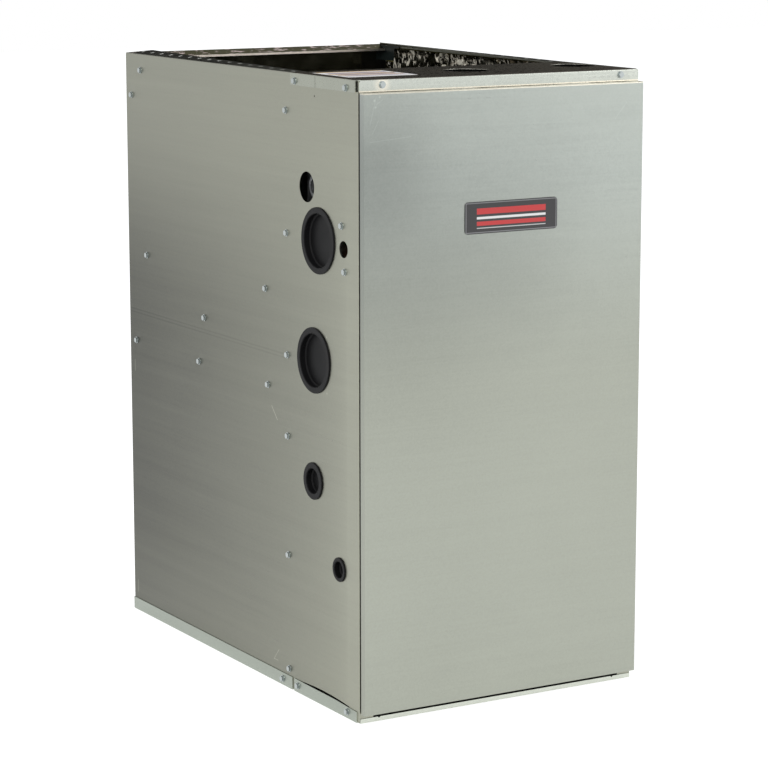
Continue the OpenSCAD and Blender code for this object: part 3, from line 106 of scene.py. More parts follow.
LAMP_SIZE = 1.6
LAMP_TARGET = Vector((0, 0, 0.45))

FLOOR_HALF = 14
FLOOR_Z = -0.0008
FLOOR_GLOW = 0.7

# A dark card behind the furnace and to its right, for the reflections in the shelf and the duct flanges
CARD_CORNERS = [(0.2, 2.6, 0.1), (3.5, 2.6, 0.1), (3.5, 2.2, 2.6), (0.2, 2.2, 2.6)]
CARD_GREY = 0.02


def link(thing):
    bpy.context.scene.collection.objects.link(thing)
    return thing


def make_camera():
    data = bpy.data.cameras.new("camera")
    data.sensor_width = 36
    data.lens = CAMERA_LENS
    data.clip_start = 0.1
    data.clip_end = 60
    camera = link(bpy.data.objects.new("camera", data))
    camera.location = CAMERA_PLACE
    camera.rotation_euler = [math.radians(angle) for angle in (90 - CAMERA_DOWN, CAMERA_ROLL, CAMERA_TURN)]
    bpy.context.scene.camera = camera


def make_world():
    """White for the camera, for metal and for glass; a dimmer, even light on everything else."""
    world = bpy.data.worlds.new("studio")
    world.use_nodes = True
    world.cycles.sampling_method = "NONE"
    tree = world.node_tree
    tree.nodes.clear()
    out = tree.nodes.new("ShaderNodeOutputWorld")
    dim = tree.nodes.new("ShaderNodeBackground")
    dim.inputs["Color"].default_value = SKY_COLOUR
    dim.inputs["Strength"].default_value = SKY_STRENGTH
    white = tree.nodes.new("ShaderNodeBackground")
    white.inputs["Color"].default_value = (1, 1, 1, 1)
    white.inputs["Strength"].default_value = 1.0
    path = tree.nodes.new("ShaderNodeLightPath")
    shown = path.outputs[SHOWN_RAYS[0]]
    for ray in SHOWN_RAYS[1:]:
        either = tree.nodes.new("ShaderNodeMath")
        either.operation = "MAXIMUM"
        tree.links.new(shown, either.inputs[0])
        tree.links.new(path.outputs[ray], either.inputs[1])
        shown = either.outputs[0]
    mix = tree.nodes.new("ShaderNodeMixShader")
    tree.links.new(shown, mix.inputs[0])
    tree.links.new(dim.outputs[0], mix.inputs[1])
    tree.links.new(white.outputs[0], mix.inputs[2])
    tree.links.new(mix.outputs[0], out.inputs["Surface"])
    bpy.context.scene.world = world


def area_light(name, place, power, colour):
    data = bpy.data.lights.new(name, "AREA")
    data.shape = "RECTANGLE"
    data.size = LAMP_SIZE
    data.size_y = LAMP_SIZE
    data.energy = power
    data.color = colour
    lamp = link(bpy.data.objects.new(name, data))
    lamp.location = place
    lamp.rotation_euler = (LAMP_TARGET - Vector(place)).to_track_quat("-Z", "Y").to_euler()


def one_face(name, corners, material):
    mesh = bpy.data.meshes.new(name)
    mesh.from_pydata(corners, [], [(0, 1, 2, 3)])
    mesh.materials.append(material)
    return link(bpy.data.objects.new(name, mesh))


def make_floor():
    """Pale, with a glow that only the rays of SHOWN_RAYS see, so that it keeps the furnace's shadow."""
    pale = (0.8, 0.8, 0.8, 1)
    look = Look("floor_white", {"Base Color": pale, "Roughness": 0.9, "Specular IOR Level": 0.1})
    glow = look.add("ShaderNodeEmission", {"Color": (1, 1, 1, 1)})
    path = look.add("ShaderNodeLightPath")
    shown = look.chain("MAXIMUM", [path.outputs[ray] for ray in SHOWN_RAYS])
    look.plug(glow.inputs["Strength"], look.product(shown, FLOOR_GLOW))
    both = look.add("ShaderNodeAddShader")
    look.plug(both.inputs[0], look.shader.outputs[0])
    look.plug(both.inputs[1], glow.outputs[0])
    look.plug(look.out.inputs["Surface"], both.outputs[0])
    half = FLOOR_HALF
    corners = [(-half, -half, 0), (half, -half, 0), (half, half, 0), (-half, half, 0)]
    floor = one_face("floor", corners, look.material)
    floor.location.z = FLOOR_Z


def make_card():
    """The card shows only to rays that metal reflects and glass lets through."""
    colour = (CARD_GREY, CARD_GREY, CARD_GREY, 1)
    look = Look("card_back", {"Base Color": colour, "Roughness": 1.0, "Specular IOR Level": 0.0})
    card = one_face("card_back", CARD_CORNERS, look.material)
    card.visible_camera = False
    card.visible_shadow = False
    card.visible_diffuse = False


# ---- Building materials out of nodes ----

def linear(level):
    """One channel of a colour, 0 to 255 as it is seen, as the linear value that a shader takes."""
    if level < 10.3:
        return level / 255 / 12.92
    return ((level / 255 + 0.055) / 1.055) ** 2.4


def seen(r, g, b):
    """A colour as it is seen, 0 to 255, as a shader takes it."""
    return linear(r), linear(g), linear(b), 1.0


class Look:
    """A node material that is put together step by step."""

    def __init__(self, name, shader):
        self.material = bpy.data.materials.new(name)
        self.material.use_nodes = True
        self.tree = self.material.node_tree
        self.tree.nodes.clear()
        self.shader = self.add("ShaderNodeBsdfPrincipled", shader)
        self.out = self.add("ShaderNodeOutputMaterial")
        self.plug(self.out.inputs["Surface"], self.shader.outputs[0])
        self.place = self.add("ShaderNodeTexCoord").outputs["Object"]
        self.axes = None
        self.normals = None

    def plug(self, socket, value):
        if isinstance(value, bpy.types.NodeSocket):
            self.tree.links.new(value, socket)
        else:
            socket.default_value = value

    def add(self, kind, inputs=None, **settings):
        made = self.tree.nodes.new(kind)
        for key, value in settings.items():
            setattr(made, key, value)
        for key, value in (inputs or {}).items():
            self.plug(made.inputs[key], value)
        return made

    def set(self, **values):
        """Sockets of the shader, with _ for a space in their names."""
        for key, value in values.items():
            self.plug(self.shader.inputs[key.replace("_", " ")], value)

    def math(self, operation, a, b=0.0):
        return self.add("ShaderNodeMath", {0: a, 1: b}, operation=operation).outputs[0]

    def chain(self, operation, parts):
        result = parts[0]
        for part in parts[1:]:
            result = self.math(operation, result, part)
        return result

    def total(self, *parts):
        return self.chain("ADD", parts)

    def product(self, *parts):
        return self.chain("MULTIPLY", parts)

    def scaled(self, scale):
        """The object's own coordinates, stretched by one number or by one for each axis. A larger number is
        finer detail."""
        if isinstance(scale, (int, float)):
            scale = (scale, scale, scale)
        return self.add("ShaderNodeVectorMath", {0: self.place, 1: scale}, operation="MULTIPLY").outputs[0]

    def noise(self, scale, detail=2.0, roughness=0.5, warp=0.0):
        made = self.add("ShaderNodeTexNoise", {"Vector": self.scaled(scale), "Scale": 1.0, "Detail": detail,
                                               "Roughness": roughness, "Distortion": warp})
        return made.outputs["Fac"]

    def cells(self, scale, feature="F1", output="Color"):
        made = self.add("ShaderNodeTexVoronoi", {"Vector": self.scaled(scale), "Scale": 1.0},
                        feature=feature)
        return made.outputs[output]

    def swing(self, value, amount):
        """A texture value of 0 to 1 turned into a change round zero, of plus or minus amount."""
        return self.product(self.math("SUBTRACT", value, 0.5), 2 * amount)

    def span(self, value, low, high, to_low, to_high, smooth=True):
        made = self.add("ShaderNodeMapRange", {"Value": value, "From Min": low, "From Max": high,
                                               "To Min": to_low, "To Max": to_high})
        made.interpolation_type = "SMOOTHSTEP" if smooth else "LINEAR"
        return made.outputs["Result"]

    def axis(self, name):
        if self.axes is None:
            self.axes = self.add("ShaderNodeSeparateXYZ", {0: self.place})
        return self.axes.outputs[name.upper()]

    def facing(self, name, low=0.7, high=0.9):
        """1 where a face looks along the axis, and 0 where it looks elsewhere. The axis is x, y or z, with
        a minus before it for its other way."""
        if self.normals is None:
            normal = self.add("ShaderNodeNewGeometry").outputs["True Normal"]
            self.normals = self.add("ShaderNodeSeparateXYZ", {0: normal})
        share = self.normals.outputs[name[-1].upper()]
        if name[0] == "-":
            share = self.product(share, -1.0)
        return self.span(share, low, high, 0.0, 1.0)

    def gap(self, a, b):
        return self.add("ShaderNodeVectorMath", {0: a, 1: b}, operation="DISTANCE").outputs["Value"]

    def stroke(self, a, b, width):
        """1 on the line between two points of the surface, fading to 0 at the given half width."""
        a = Vector(a)
        way = Vector(b) - a
        away = self.add("ShaderNodeVectorMath", {0: self.place, 1: a}, operation="SUBTRACT").outputs[0]
        share = self.add("ShaderNodeVectorMath", {0: away, 1: way / way.length_squared},
                         operation="DOT_PRODUCT").outputs["Value"]
        share = self.math("MAXIMUM", self.math("MINIMUM", share, 1.0), 0.0)
        foot = self.add("ShaderNodeVectorMath", {0: way, "Scale": share}, operation="SCALE").outputs[0]
        return self.span(self.gap(away, foot), width * 0.4, width, 1.0, 0.0)

    def near(self, point, radius):
        """1 at a point, fading to 0 at the radius."""
        return self.span(self.gap(self.place, point), 0.0, radius, 1.0, 0.0)

    def inside(self, middle, half, soft=0.0004):
        """1 inside a box, given by its middle and half size along each axis; None leaves an axis out."""
        result = None
        for name, centre, reach in zip("xyz", middle, half):
            if centre is None:
                continue
            away = self.math("ABSOLUTE", self.math("SUBTRACT", self.axis(name), centre))
            share = self.span(away, reach - soft, reach, 1.0, 0.0, smooth=False)
            result = share if result is None else self.product(result, share)
        return result

    def tint(self, colour, change):
        """The colour made lighter or darker by a change round zero."""
        if not isinstance(colour, bpy.types.NodeSocket):
            colour = colour[:3]
        return self.add("ShaderNodeVectorMath", {0: colour, "Scale": self.math("ADD", change, 1.0)},
                        operation="SCALE").outputs[0]

    def speckled(self, colour, texture, amount):
        """The colour made lighter and darker by a texture, by plus or minus amount."""
        return self.tint(colour, self.swing(texture, amount))

    def mix(self, share, a, b):
        made = self.add("ShaderNodeMix", {0: share}, data_type="RGBA")
        self.plug(made.inputs[6], a)
        self.plug(made.inputs[7], b)
        return made.outputs[2]

    def bump(self, height, distance, strength=1.0, normal=None):
        made = self.add("ShaderNodeBump", {"Height": height, "Distance": distance, "Strength": strength})
        if normal is not None:
            self.plug(made.inputs["Normal"], normal)
        return made.outputs[0]


# Scales of the fine lines and of the broad bands, for a grain along each axis
GRAIN = {
    "x": ((7, 300, 420), (1.5, 50, 60)),
    "y": ((300, 7, 420), (50, 1.5, 60)),
    "z": ((420, 420, 7), (60, 60, 1.5)),
}
ZINC_CRYSTALS = 420
# Scales of the sheets' slow changes of tone and of the waves in their flat
SLOW_TONE = 3.1
FLAT_WAVES = 4.3
# How deep the dimples round screws and the lines of the grain are, in metres
DIMPLE_DEPTH = 0.0012
LINE_DEPTH = 0.00002
# Scales of the fine surface texture of paint, plastic and paper, and of their changes of tone
FINE_GRAIN = 900
PATCHES = 25


def sheet_metal(name, colour, grain, streak=0.10, band=0.06, spangle=0.05, mottle=0.08, rough=0.36,
                extra=None, heights=None, wave=0.0012, relief=0.6):
    """Rolled galvanised sheet: grain along one axis, small zinc crystals, and slow waves in the flat."""
    look = Look(name, {"Metallic": 1.0})
    fine, broad = GRAIN[grain]
    line = look.noise(fine, 3, 0.6)
    bands = look.noise(broad, 3, 0.6)
    crystal = look.cells(ZINC_CRYSTALS)
    slow = look.noise(SLOW_TONE, 3, 0.55, 0.4)
    changes = [look.swing(line, streak), look.swing(bands, band), look.swing(crystal, spangle),
               look.swing(slow, mottle)]
    if extra:
        changes += extra(look)
    if callable(colour):
        colour = colour(look)
    look.set(Base_Color=look.tint(colour, look.total(*changes)))
    look.set(Roughness=look.total(look.swing(line, 0.10), look.swing(slow, 0.07), look.swing(crystal, 0.05),
                                  rough))
    normal = look.bump(look.noise(FLAT_WAVES, 1, 0.4), wave)
    if heights:
        normal = look.bump(heights(look), DIMPLE_DEPTH, 1.0, normal)
    look.set(Normal=look.bump(line, LINE_DEPTH, relief, normal))
    return look.material


def cast_or_moulded(name, colour, rough, metallic=0.0, grain=FINE_GRAIN, depth=0.00006, vary=0.12, coat=0.0,
                    gloss=0.5):
    """Paint, plastic, rubber, ceramic and castings: a fine surface texture over slow changes of tone."""
    look = Look(name, {"Metallic": metallic, "Coat Weight": coat, "Coat Roughness": 0.15,
                       "Specular IOR Level": gloss})
    fine = look.noise(grain, 2, 0.5)
    slow = look.noise(PATCHES, 3, 0.5)
    tone = look.total(look.swing(slow, vary), look.swing(fine, vary * 0.5))
    look.set(Base_Color=look.tint(colour, tone))
    look.set(Roughness=look.total(look.swing(slow, 0.12), look.swing(fine, 0.06), rough))
    look.set(Normal=look.bump(fine, depth, 0.5))
    return look.material


# ---- The cabinet's own steel ----

# Marks of the left side, in millimetres behind the front edge and above the floor: its screws, its
# scratches with their start, end and half width, and its specks
SIDE_SCREWS = [(655, 840), (687, 801.5), (641.5, 563), (682.5, 427.5), (451, 493), (469.5, 426), (260, 560),
               (254.5, 425), (197, 812), (197, 644.5), (197, 475.5), (197, 361.5), (197, 192.5), (197, 28)]
SIDE_SCRATCHES = [
    ((244.1, 396.5), (227.9, 379.4), 1.1),
    ((690.4, 396), (690.5, 379), 0.9),
    ((692.7, 47.7), (692.8, 28.9), 0.9),
    ((228.1, 47.9), (243, 31.4), 0.6),
    ((243, 31.4), (231.1, 31.5), 0.6),
]
SIDE_SPECKS = [(85.4, 515.3), (85.4, 439), (116.1, 836)]
SIDE_SPECK_RADIUS = 0.0022
# Heights of the two faint lines, which run from the back to near the front
ROLLING_LINES_Z = (0.4755, 0.4705)
ROLLING_LINE_WIDTH = 0.0016
DIMPLE_RADIUS = 0.018
# How much painted shade darkens the side towards the back, low down
SIDE_SHADE = 0.66


def side_point(behind, height):
    """A point of the left side, from millimetres."""
    return -SIDE_X, y_at(behind), height * MM


def side_shade_and_wear(look):
    """Painted light on the side panels: painted shade low at the back, less of it on the right, and painted
    light at the front. The left side also has two faint rolling lines, light scratches and specks."""
    back = look.span(look.axis("y"), y_at(30), y_at(690), 0.0, 1.0, smooth=False)
    low = look.product(look.span(look.axis("z"), 0.46, 0.84, 1.0, 0.0),
                       look.span(look.axis("z"), 0.02, 0.20, 0.8, 1.0))
    off_back_face = look.span(look.facing("y"), 0.0, 1.0, 1.0, 0.15)
    less_on_right = look.span(look.axis("x"), -0.1, 0.1, 1.0, 0.35)
    # painted shade: darker low towards the back, and less of it on the right
    shade = look.product(look.math("POWER", back, 0.5), low, -SIDE_SHADE, off_back_face, less_on_right)
    # painted light: lighter towards the front
    front = look.span(look.axis("y"), y_at(0), y_at(700), 0.17, -0.05, smooth=False)
    marks = [look.stroke(side_point(*start), side_point(*end), width * MM)
             for start, end, width in SIDE_SCRATCHES]
    specks = [look.near(side_point(*spot), SIDE_SPECK_RADIUS) for spot in SIDE_SPECKS]
    wear_and_highlight = look.product(look.total(*marks, *specks), 0.5)
    lines = [look.stroke((-SIDE_X, y_at(706), z), (-SIDE_X, y_at(187), z), ROLLING_LINE_WIDTH)
             for z in ROLLING_LINES_Z]
    return [shade, front, wear_and_highlight] + [look.product(line, -0.08) for line in lines]


def side_dimples(look):
    """The sheet is drawn in a little round each screw of the left side."""
    spots = [look.near(side_point(*spot), DIMPLE_RADIUS) for spot in SIDE_SCREWS]
    return look.product(look.total(*spots), -0.25)


# Scratches on the door, with their start and end, and specks: sideways place and height, millimetres
DOOR_SCRATCHES = [
    ((-211.6, 806.1), (-202.5, 842.8)),
    ((-203, 832), (-193.3, 838.4)),
    ((-208, 795), (-199, 812)),
    ((174.6, 798.8), (193.1, 820.5)),
    ((-212, 784), (-150, 789)),
]
DOOR_SPECKS = [(-197.2, 842.3), (-205, 837.8), (-203.4, 829)]
DOOR_SCRATCH_WIDTH = 0.0008
DOOR_SPECK_RADIUS = 0.0024
# Broad patches of painted reflection on the door: sideways place and height in millimetres, radius in
# metres, and how much lighter or darker
DOOR_REFLECTION_PATCHES = [((-190, 660), 0.36, -0.2), ((-210, 765), 0.15, -0.22), ((190, 630), 0.20, 0.12)]
# Small light flecks lie round this point of the upper left corner, in millimetres
FLECKED_CORNER = (-190, 830)


def door_point(sideways, height):
    """A point of the door's face, from millimetres."""
    return sideways * MM, DOOR_Y, height * MM


def door_colour(look):
    """Painted reflection, cooler and bluer high on the door and warmer low down, and a painted highlight
    along the folded top edge.
    """
    high = look.span(look.axis("z"), 0.42, 0.76, 0.0, 1.0)
    # painted reflection: bluer high, warmer low
    colour = look.mix(high, seen(155, 158, 148), seen(150, 155, 150))
    # a painted highlight along the folded top edge
    edge = look.span(look.axis("z"), DOOR_TOP_Z - 0.0022, DOOR_TOP_Z - 0.0012, 0.0, 1.0)
    return look.mix(edge, colour, seen(192, 189, 176))


def door_wear_and_painted_light(look):
    """Light scratches, specks and flecks, broad patches of painted reflection, and painted light towards the
    top.
    """
    marks = [look.stroke(door_point(*start), door_point(*end), DOOR_SCRATCH_WIDTH)
             for start, end in DOOR_SCRATCHES]
    specks = [look.near(door_point(*spot), DOOR_SPECK_RADIUS) for spot in DOOR_SPECKS]
    # patches of painted reflection, darker and lighter
    reflection_patches = [look.product(look.near(door_point(*spot), radius), change)
              for spot, radius, change in DOOR_REFLECTION_PATCHES]
    # painted light: lighter towards the top
    top = look.span(look.axis("z"), 0.56, 0.86, 0.0, 0.26)
    fleck = look.span(look.cells(330, output="Distance"), 0.03, 0.08, 1.0, 0.0)
    corner = look.near(door_point(*FLECKED_CORNER), 0.13)
    return [look.product(look.total(*marks), 0.09), look.product(look.total(*specks), 0.3), *reflection_patches, top,
            look.product(fleck, corner, 0.25)]


def cabinet_colour(look):
    """Plain zinc, painted in shade behind the vestibule wall and painted dark on up-facing faces such as the
    duct flanges as a dark reflection, with a pale square round each perforation. The back's flange carries a
    painted reflection, dark olive with painted glints, and its hem a painted highlight."""
    # painted shade behind the vestibule wall
    plain = look.mix(look.inside(*BEHIND_WALL), seen(141, 142, 130), seen(62, 62, 56))
    up = look.facing("z", 0.6, 0.85)
    dots = look.math("DIVIDE", look.math("SUBTRACT", look.axis("y"), DOTS_START), DOT_PITCH)
    off_dot = look.math("SUBTRACT", look.math("FRACT", dots), 0.5)
    along = look.product(look.math("ABSOLUTE", off_dot), DOT_PITCH)
    beside = look.math("ABSOLUTE", look.math("SUBTRACT", look.math("ABSOLUTE", look.axis("x")), DOTS_X))
    # a pale square round each perforation
    pale_square = look.span(look.math("MAXIMUM", along, beside), PALE_SQUARE_FULL, PALE_SQUARE_END, 1.0, 0.0)
    # faces that look up get a painted dark reflection
    colour = look.mix(up, plain, look.mix(pale_square, seen(66, 66, 58), seen(236, 236, 230)))
    look.set(Metallic=look.math("SUBTRACT", 1.0, look.product(up, pale_square, 0.9)))
    # the back's flange: a painted reflection, dark olive with painted glints
    at_back = look.span(look.axis("y"), BACK_HEM_Y - 0.003, BACK_HEM_Y - 0.001, 0.0, 1.0)
    glint = look.span(look.noise((70, 220, 170), 2, 0.6), 0.57, 0.63, 0.0, 1.0)
    painted_reflection = look.mix(glint, seen(66, 63, 26), seen(206, 188, 184))
    colour = look.mix(look.product(up, at_back), colour, painted_reflection)
    # a painted highlight on the back's hem
    return look.mix(look.inside(*BACK_HEM), colour, seen(242, 232, 222))


def base_colour(look):
    """The front lip is painted lighter than the two long sides, as painted light."""
    return look.mix(look.facing("-y", 0.5, 0.8), seen(154, 160, 151), seen(196, 200, 190))


def cap_colour(look):
    """The shelf is painted dark as a dark reflection. The front edge is painted lighter, with a painted
    highlight along its foot and a lighter patch round its left screw. The turned-down rims of the pipe
    openings are painted dark inside as shade, with painted highlights on their lips."""
    # the front edge: painted light
    front = look.facing("-y", 0.5, 0.8)
    colour = look.mix(front, seen(156, 159, 148), seen(188, 192, 184))
    # the shelf: a painted dark reflection on faces that look up
    colour = look.mix(look.facing("z", 0.6, 0.85), colour, seen(102, 96, 84))
    # a painted highlight along the foot of the front edge, and a lighter patch round the left screw
    foot = look.span(look.axis("z"), CAP_FOOT_Z + 0.0012, CAP_FOOT_Z + 0.0022, 1.0, 0.0)
    wear_and_highlight = look.math("MAXIMUM", foot, look.near(CAP_SCREW, CAP_SCREW_REACH))
    colour = look.mix(look.product(front, wear_and_highlight), colour, seen(232, 226, 210))
    # painted shade inside the rims of the pipe openings, and painted highlights on their lips
    colour = look.mix(look.inside(*CAP_RIMS, 0.0001), colour, seen(26, 26, 25))
    return look.mix(look.inside(*CAP_LIPS, 0.0001), colour, seen(222, 219, 208))


SHEETS = {
    "cabinet_steel": dict(colour=cabinet_colour, grain="y", extra=side_shade_and_wear, heights=side_dimples),
    "cap_steel": dict(colour=cap_colour, grain="x", streak=0.03, band=0.04, spangle=0.02, rough=0.3,
                      wave=0.0004, relief=0.05),
    "base_steel": dict(colour=base_colour, grain="y", streak=0.05),
    "door_steel": dict(colour=door_colour, grain="x", streak=0.05, band=0.03, spangle=0.04,
                       extra=door_wear_and_painted_light),
    "inner_steel": dict(colour=seen(150, 152, 144), grain="x"),
    "housing_steel": dict(colour=seen(158, 160, 152), grain="y", spangle=0.10),
    "burner_steel": dict(colour=seen(140, 134, 122), grain="y", mottle=0.2, rough=0.5),
    "exchanger_steel": dict(colour=seen(160, 150, 134), grain="y", mottle=0.2, rough=0.45),
    "clip_steel": dict(colour=seen(176, 182, 188), grain="z", spangle=0.03),
    "wheel_steel": dict(colour=seen(140, 143, 147), grain="z", spangle=0.08),
}


# ---- The other materials ----

PLAIN = {
    "bracket_steel": dict(colour=seen(52, 62, 62), rough=0.38, metallic=0.6, coat=0.2),
    "plug_plastic": dict(colour=seen(22, 22, 23), rough=0.42, gloss=0.1),
    "zinc_screws": dict(colour=seen(170, 176, 176), rough=0.26, metallic=1.0, grain=1500, vary=0.14),
    "black_pipe": dict(colour=seen(44, 44, 46), rough=0.55, metallic=0.5, depth=0.0001),
    "valve_casting": dict(colour=seen(160, 162, 163), rough=0.48, metallic=1.0, grain=1400, depth=0.0001),
    "red_plastic": dict(colour=seen(178, 32, 26), rough=0.34),
    "electrode_ceramic": dict(colour=seen(226, 222, 210), rough=0.55),
    "coil_fins": dict(colour=seen(190, 192, 194), rough=0.34, metallic=1.0),
    "black_plastic": dict(colour=seen(38, 38, 41), rough=0.5),
    "motor_paint": dict(colour=seen(42, 44, 47), rough=0.36, coat=0.3),
    "switch_plastic": dict(colour=seen(190, 192, 190), rough=0.45),
    "hose_rubber": dict(colour=seen(36, 36, 37), rough=0.6),
    "white_pipe": dict(colour=seen(232, 232, 226), rough=0.32),
    "board_green": dict(colour=seen(28, 92, 52), rough=0.36),
    "transformer_core": dict(colour=seen(82, 84, 88), rough=0.4, metallic=0.5),
    "green_insulation": dict(colour=seen(40, 130, 66), rough=0.42),
    "orange_plastic": dict(colour=seen(222, 120, 44), rough=0.36),
    "wire_insulation": dict(colour=seen(44, 44, 48), rough=0.42),
    "shaft_steel": dict(colour=seen(180, 182, 184), rough=0.24, metallic=1.0),
    "capacitor_can": dict(colour=seen(190, 192, 196), rough=0.3, metallic=1.0),
}

# The badge: its middle (sideways and up), its half size, how far its border and its black field keep from
# its edge, and its bands with their height above the middle, half thickness and colour
BADGE_X = 0.0065
BADGE_Z = 0.676
BADGE_HALF_X = 0.0735
BADGE_HALF_Z = 0.0215
BADGE_BORDER = 0.0010
BADGE_FIELD = 0.0022
BADGE_BAND_HALF_X = 0.055
BADGE_RED = seen(196, 38, 40)
BADGE_BANDS = [
    (0.0085, 0.0042, BADGE_RED),
    (-0.0005, 0.0018, seen(232, 232, 232)),
    (-0.0080, 0.0030, BADGE_RED),
    (-0.0140, 0.0008, seen(200, 200, 200)),
]

# The label: its middle, its rows to the metre, the block that they fill, and its gold lines with their
# distance behind the middle and half width
LABEL_X = -0.1535
LABEL_Y = y_at(101)
LABEL_ROWS = 38
LABEL_BLOCK = (LABEL_X, LABEL_Y + 0.004, None), (0.046, 0.038, None)
LABEL_LINE_HALF_X = 0.0505
LABEL_GOLD = [(0.044, 0.0035), (0.008, 0.0032), (-0.016, 0.0025)]

# Parts on the control board that aren't black: sideways place, height, half width, half height, colour
RELAY_BLUE = seen(58, 92, 150)
PALE_PLASTIC = seen(214, 210, 196)
BOARD_PARTS = [
    (0.064, 0.366, 0.042, 0.0145, RELAY_BLUE),
    (0.034, 0.330, 0.0115, 0.0145, RELAY_BLUE),
    (0.128, 0.360, 0.0165, 0.0065, PALE_PLASTIC),
    (0.150, 0.322, 0.0165, 0.0065, PALE_PLASTIC),
    (0.085, 0.228, 0.042, 0.0065, seen(206, 60, 50)),
    (0.068, 0.268, 0.041, 0.0065, PALE_PLASTIC),
    (0.150, 0.280, 0.007, 0.007, seen(150, 152, 156)),
]


def make_foil(name, colour, crease_strength, glint=None):
    """Foil with a fine crinkle and, where a glint colour is given, painted glints: pale, less metallic
    patches.
    """
    look = Look(name, {"Metallic": 1.0})
    crease = look.cells(120, "DISTANCE_TO_EDGE", "Distance")
    slow = look.noise(30, 3, 0.6)
    if glint:
        # painted glints, in patches of the noise
        glint_mask = look.noise((85, 90, 55), 4, 0.7, 1.0)
        colour = look.mix(look.span(glint_mask, 0.54, 0.60, 0.0, 1.0), colour, glint)
        look.set(Metallic=look.span(glint_mask, 0.54, 0.60, 1.0, 0.2))
    look.set(Base_Color=look.speckled(colour, slow, 0.15))
    look.set(Roughness=look.span(slow, 0.3, 0.7, 0.10, 0.22))
    look.set(Normal=look.bump(crease, 0.001, crease_strength))
    return look.material


def make_fibre():
    """The cut edge of the glass fibre board: yellow, in fine layers."""
    look = Look("glass_fibre", {"Roughness": 0.95, "Specular IOR Level": 0.2})
    layers = look.noise((500, 500, 60), 4, 0.7)
    look.set(Base_Color=look.speckled(seen(122, 114, 52), layers, 0.4))
    look.set(Normal=look.bump(layers, 0.002))
    return look.material


def make_badge():
    """A black plate with a thin grey border and plain red and white bands, with no lettering."""
    look = Look("badge_plate", {"Roughness": 0.3, "Coat Weight": 0.5, "Coat Roughness": 0.12})
    fine = look.noise(FINE_GRAIN, 2)
    middle = (BADGE_X, None, BADGE_Z)
    field, border = [look.inside(middle, (BADGE_HALF_X - edge, None, BADGE_HALF_Z - edge))
                     for edge in (BADGE_FIELD, BADGE_BORDER)]
    black = look.speckled(seen(21, 20, 22), fine, 0.15)
    colour = look.mix(look.math("SUBTRACT", border, field), black, seen(120, 120, 122))
    for height, thick, paint in BADGE_BANDS:
        band = look.inside((BADGE_X, None, BADGE_Z + height), (BADGE_BAND_HALF_X, None, thick))
        colour = look.mix(band, colour, look.speckled(paint, fine, 0.08))
    look.set(Base_Color=colour)
    look.set(Normal=look.bump(fine, 0.00003, 0.4))
    return look.material


def make_label():
    """Pale paper with plain lilac rows and gold lines, which stand in for its print."""
    look = Look("label_paper", {"Roughness": 0.8, "Specular IOR Level": 0.1})
    fibre = look.noise(FINE_GRAIN, 2)
    colour = look.speckled(seen(240, 238, 238), fibre, 0.05)
    turn = look.math("FRACT", look.product(look.axis("y"), LABEL_ROWS))
    row = look.span(look.math("ABSOLUTE", look.math("SUBTRACT", turn, 0.5)), 0.22, 0.26, 1, 0)
    colour = look.mix(look.product(row, look.inside(*LABEL_BLOCK), 0.9), colour, seen(128, 104, 126))
    for shift, half in LABEL_GOLD:
        line = look.inside((LABEL_X, LABEL_Y + shift, None), (LABEL_LINE_HALF_X, half, None))
        colour = look.mix(line, colour, seen(198, 152, 30))
    look.set(Base_Color=colour)
    look.set(Normal=look.bump(fibre, 0.00003, 0.5))
    return look.material


def make_board_parts():
    """Blue relays, pale and red connectors, a bare can, and the rest black."""
    look = Look("board_parts", {"Roughness": 0.42})
    fine = look.noise(FINE_GRAIN, 2)
    colour = look.speckled(seen(38, 38, 41), fine, 0.12)
    for x, z, half_x, half_z, paint in BOARD_PARTS:
        share = look.inside((x, None, z), (half_x, None, half_z))
        colour = look.mix(share, colour, look.speckled(paint, fine, 0.08))
    look.set(Base_Color=colour)
    look.set(Normal=look.bump(fine, 0.00005, 0.5))
    return look.material


def make_glass():
    tint = (0.9, 0.95, 0.95, 1)
    look = Look("window_glass", {"Base Color": tint, "Transmission Weight": 0.9, "IOR": 1.5})
    look.set(Roughness=look.span(look.noise(60, 3), 0.3, 0.7, 0.03, 0.12))
    return look.material


def make_looks():
    """A material for each slot of the record, by the slot's name."""
    looks = {name: sheet_metal(name, **values) for name, values in SHEETS.items()}
    looks.update({name: cast_or_moulded(name, **values) for name, values in PLAIN.items()})
    looks["badge_plate"] = make_badge()
    # the last colour is that of the foil's painted glints
    looks["foil_lining"] = make_foil("foil_lining", seen(150, 147, 136), 0.2, seen(250, 244, 228))
    looks["label_paper"] = make_label()
    looks["window_glass"] = make_glass()
    return looks


def dress_nodes(looks):
    """Each node gets its slot's material, but the board's components get one with colours of its own."""
    components = make_board_parts()
    for part in frame["record"]["subparts"]:
        materials = NODES[part["node"]].data.materials
        materials.clear()
        own = part["node"] == "board_components"
        materials.append(components if own else looks[part["material_slot"]])


# ---- Insulation: glass fibre boards with crumpled foil on their face ----

PAD = 12 * MM
# The side boards end here, and leave out their upper back corner from here on
SIDE_BOARD_END_Y = y_at(667)
NOTCH_Y = y_at(640)
NOTCH_Z = 0.8385
BACK_BOARD_HALF_X = 0.18
BACK_BOARD_TOP_Z = 0.855
# Sizes of the folds in crumpled foil, and each one's share of the depth
FOLDS = ((0.036, 0.62), (0.015, 0.38))
# Size of the stretches in which foil is more or less crumpled
STRETCH = 0.09


def crumple(place, seed):
    """0 to 1: how far foil that was crumpled and pressed flat again dips at a place."""
    high = 0.0
    for cell, weight in FOLDS:
        near, _ = noise.voronoi(place / cell + Vector((seed, seed, 0)))
        high += weight * min(1.0, near[1] - near[0])
    return high


def liveliness(place, seed):
    """How much of its depth the crumple keeps at a place, from about a third to all of it."""
    wave = noise.noise(place / STRETCH + Vector((seed, 0, 0)))
    return 0.35 + 0.65 * min(1.0, max(0.0, 0.5 + 1.4 * wave))


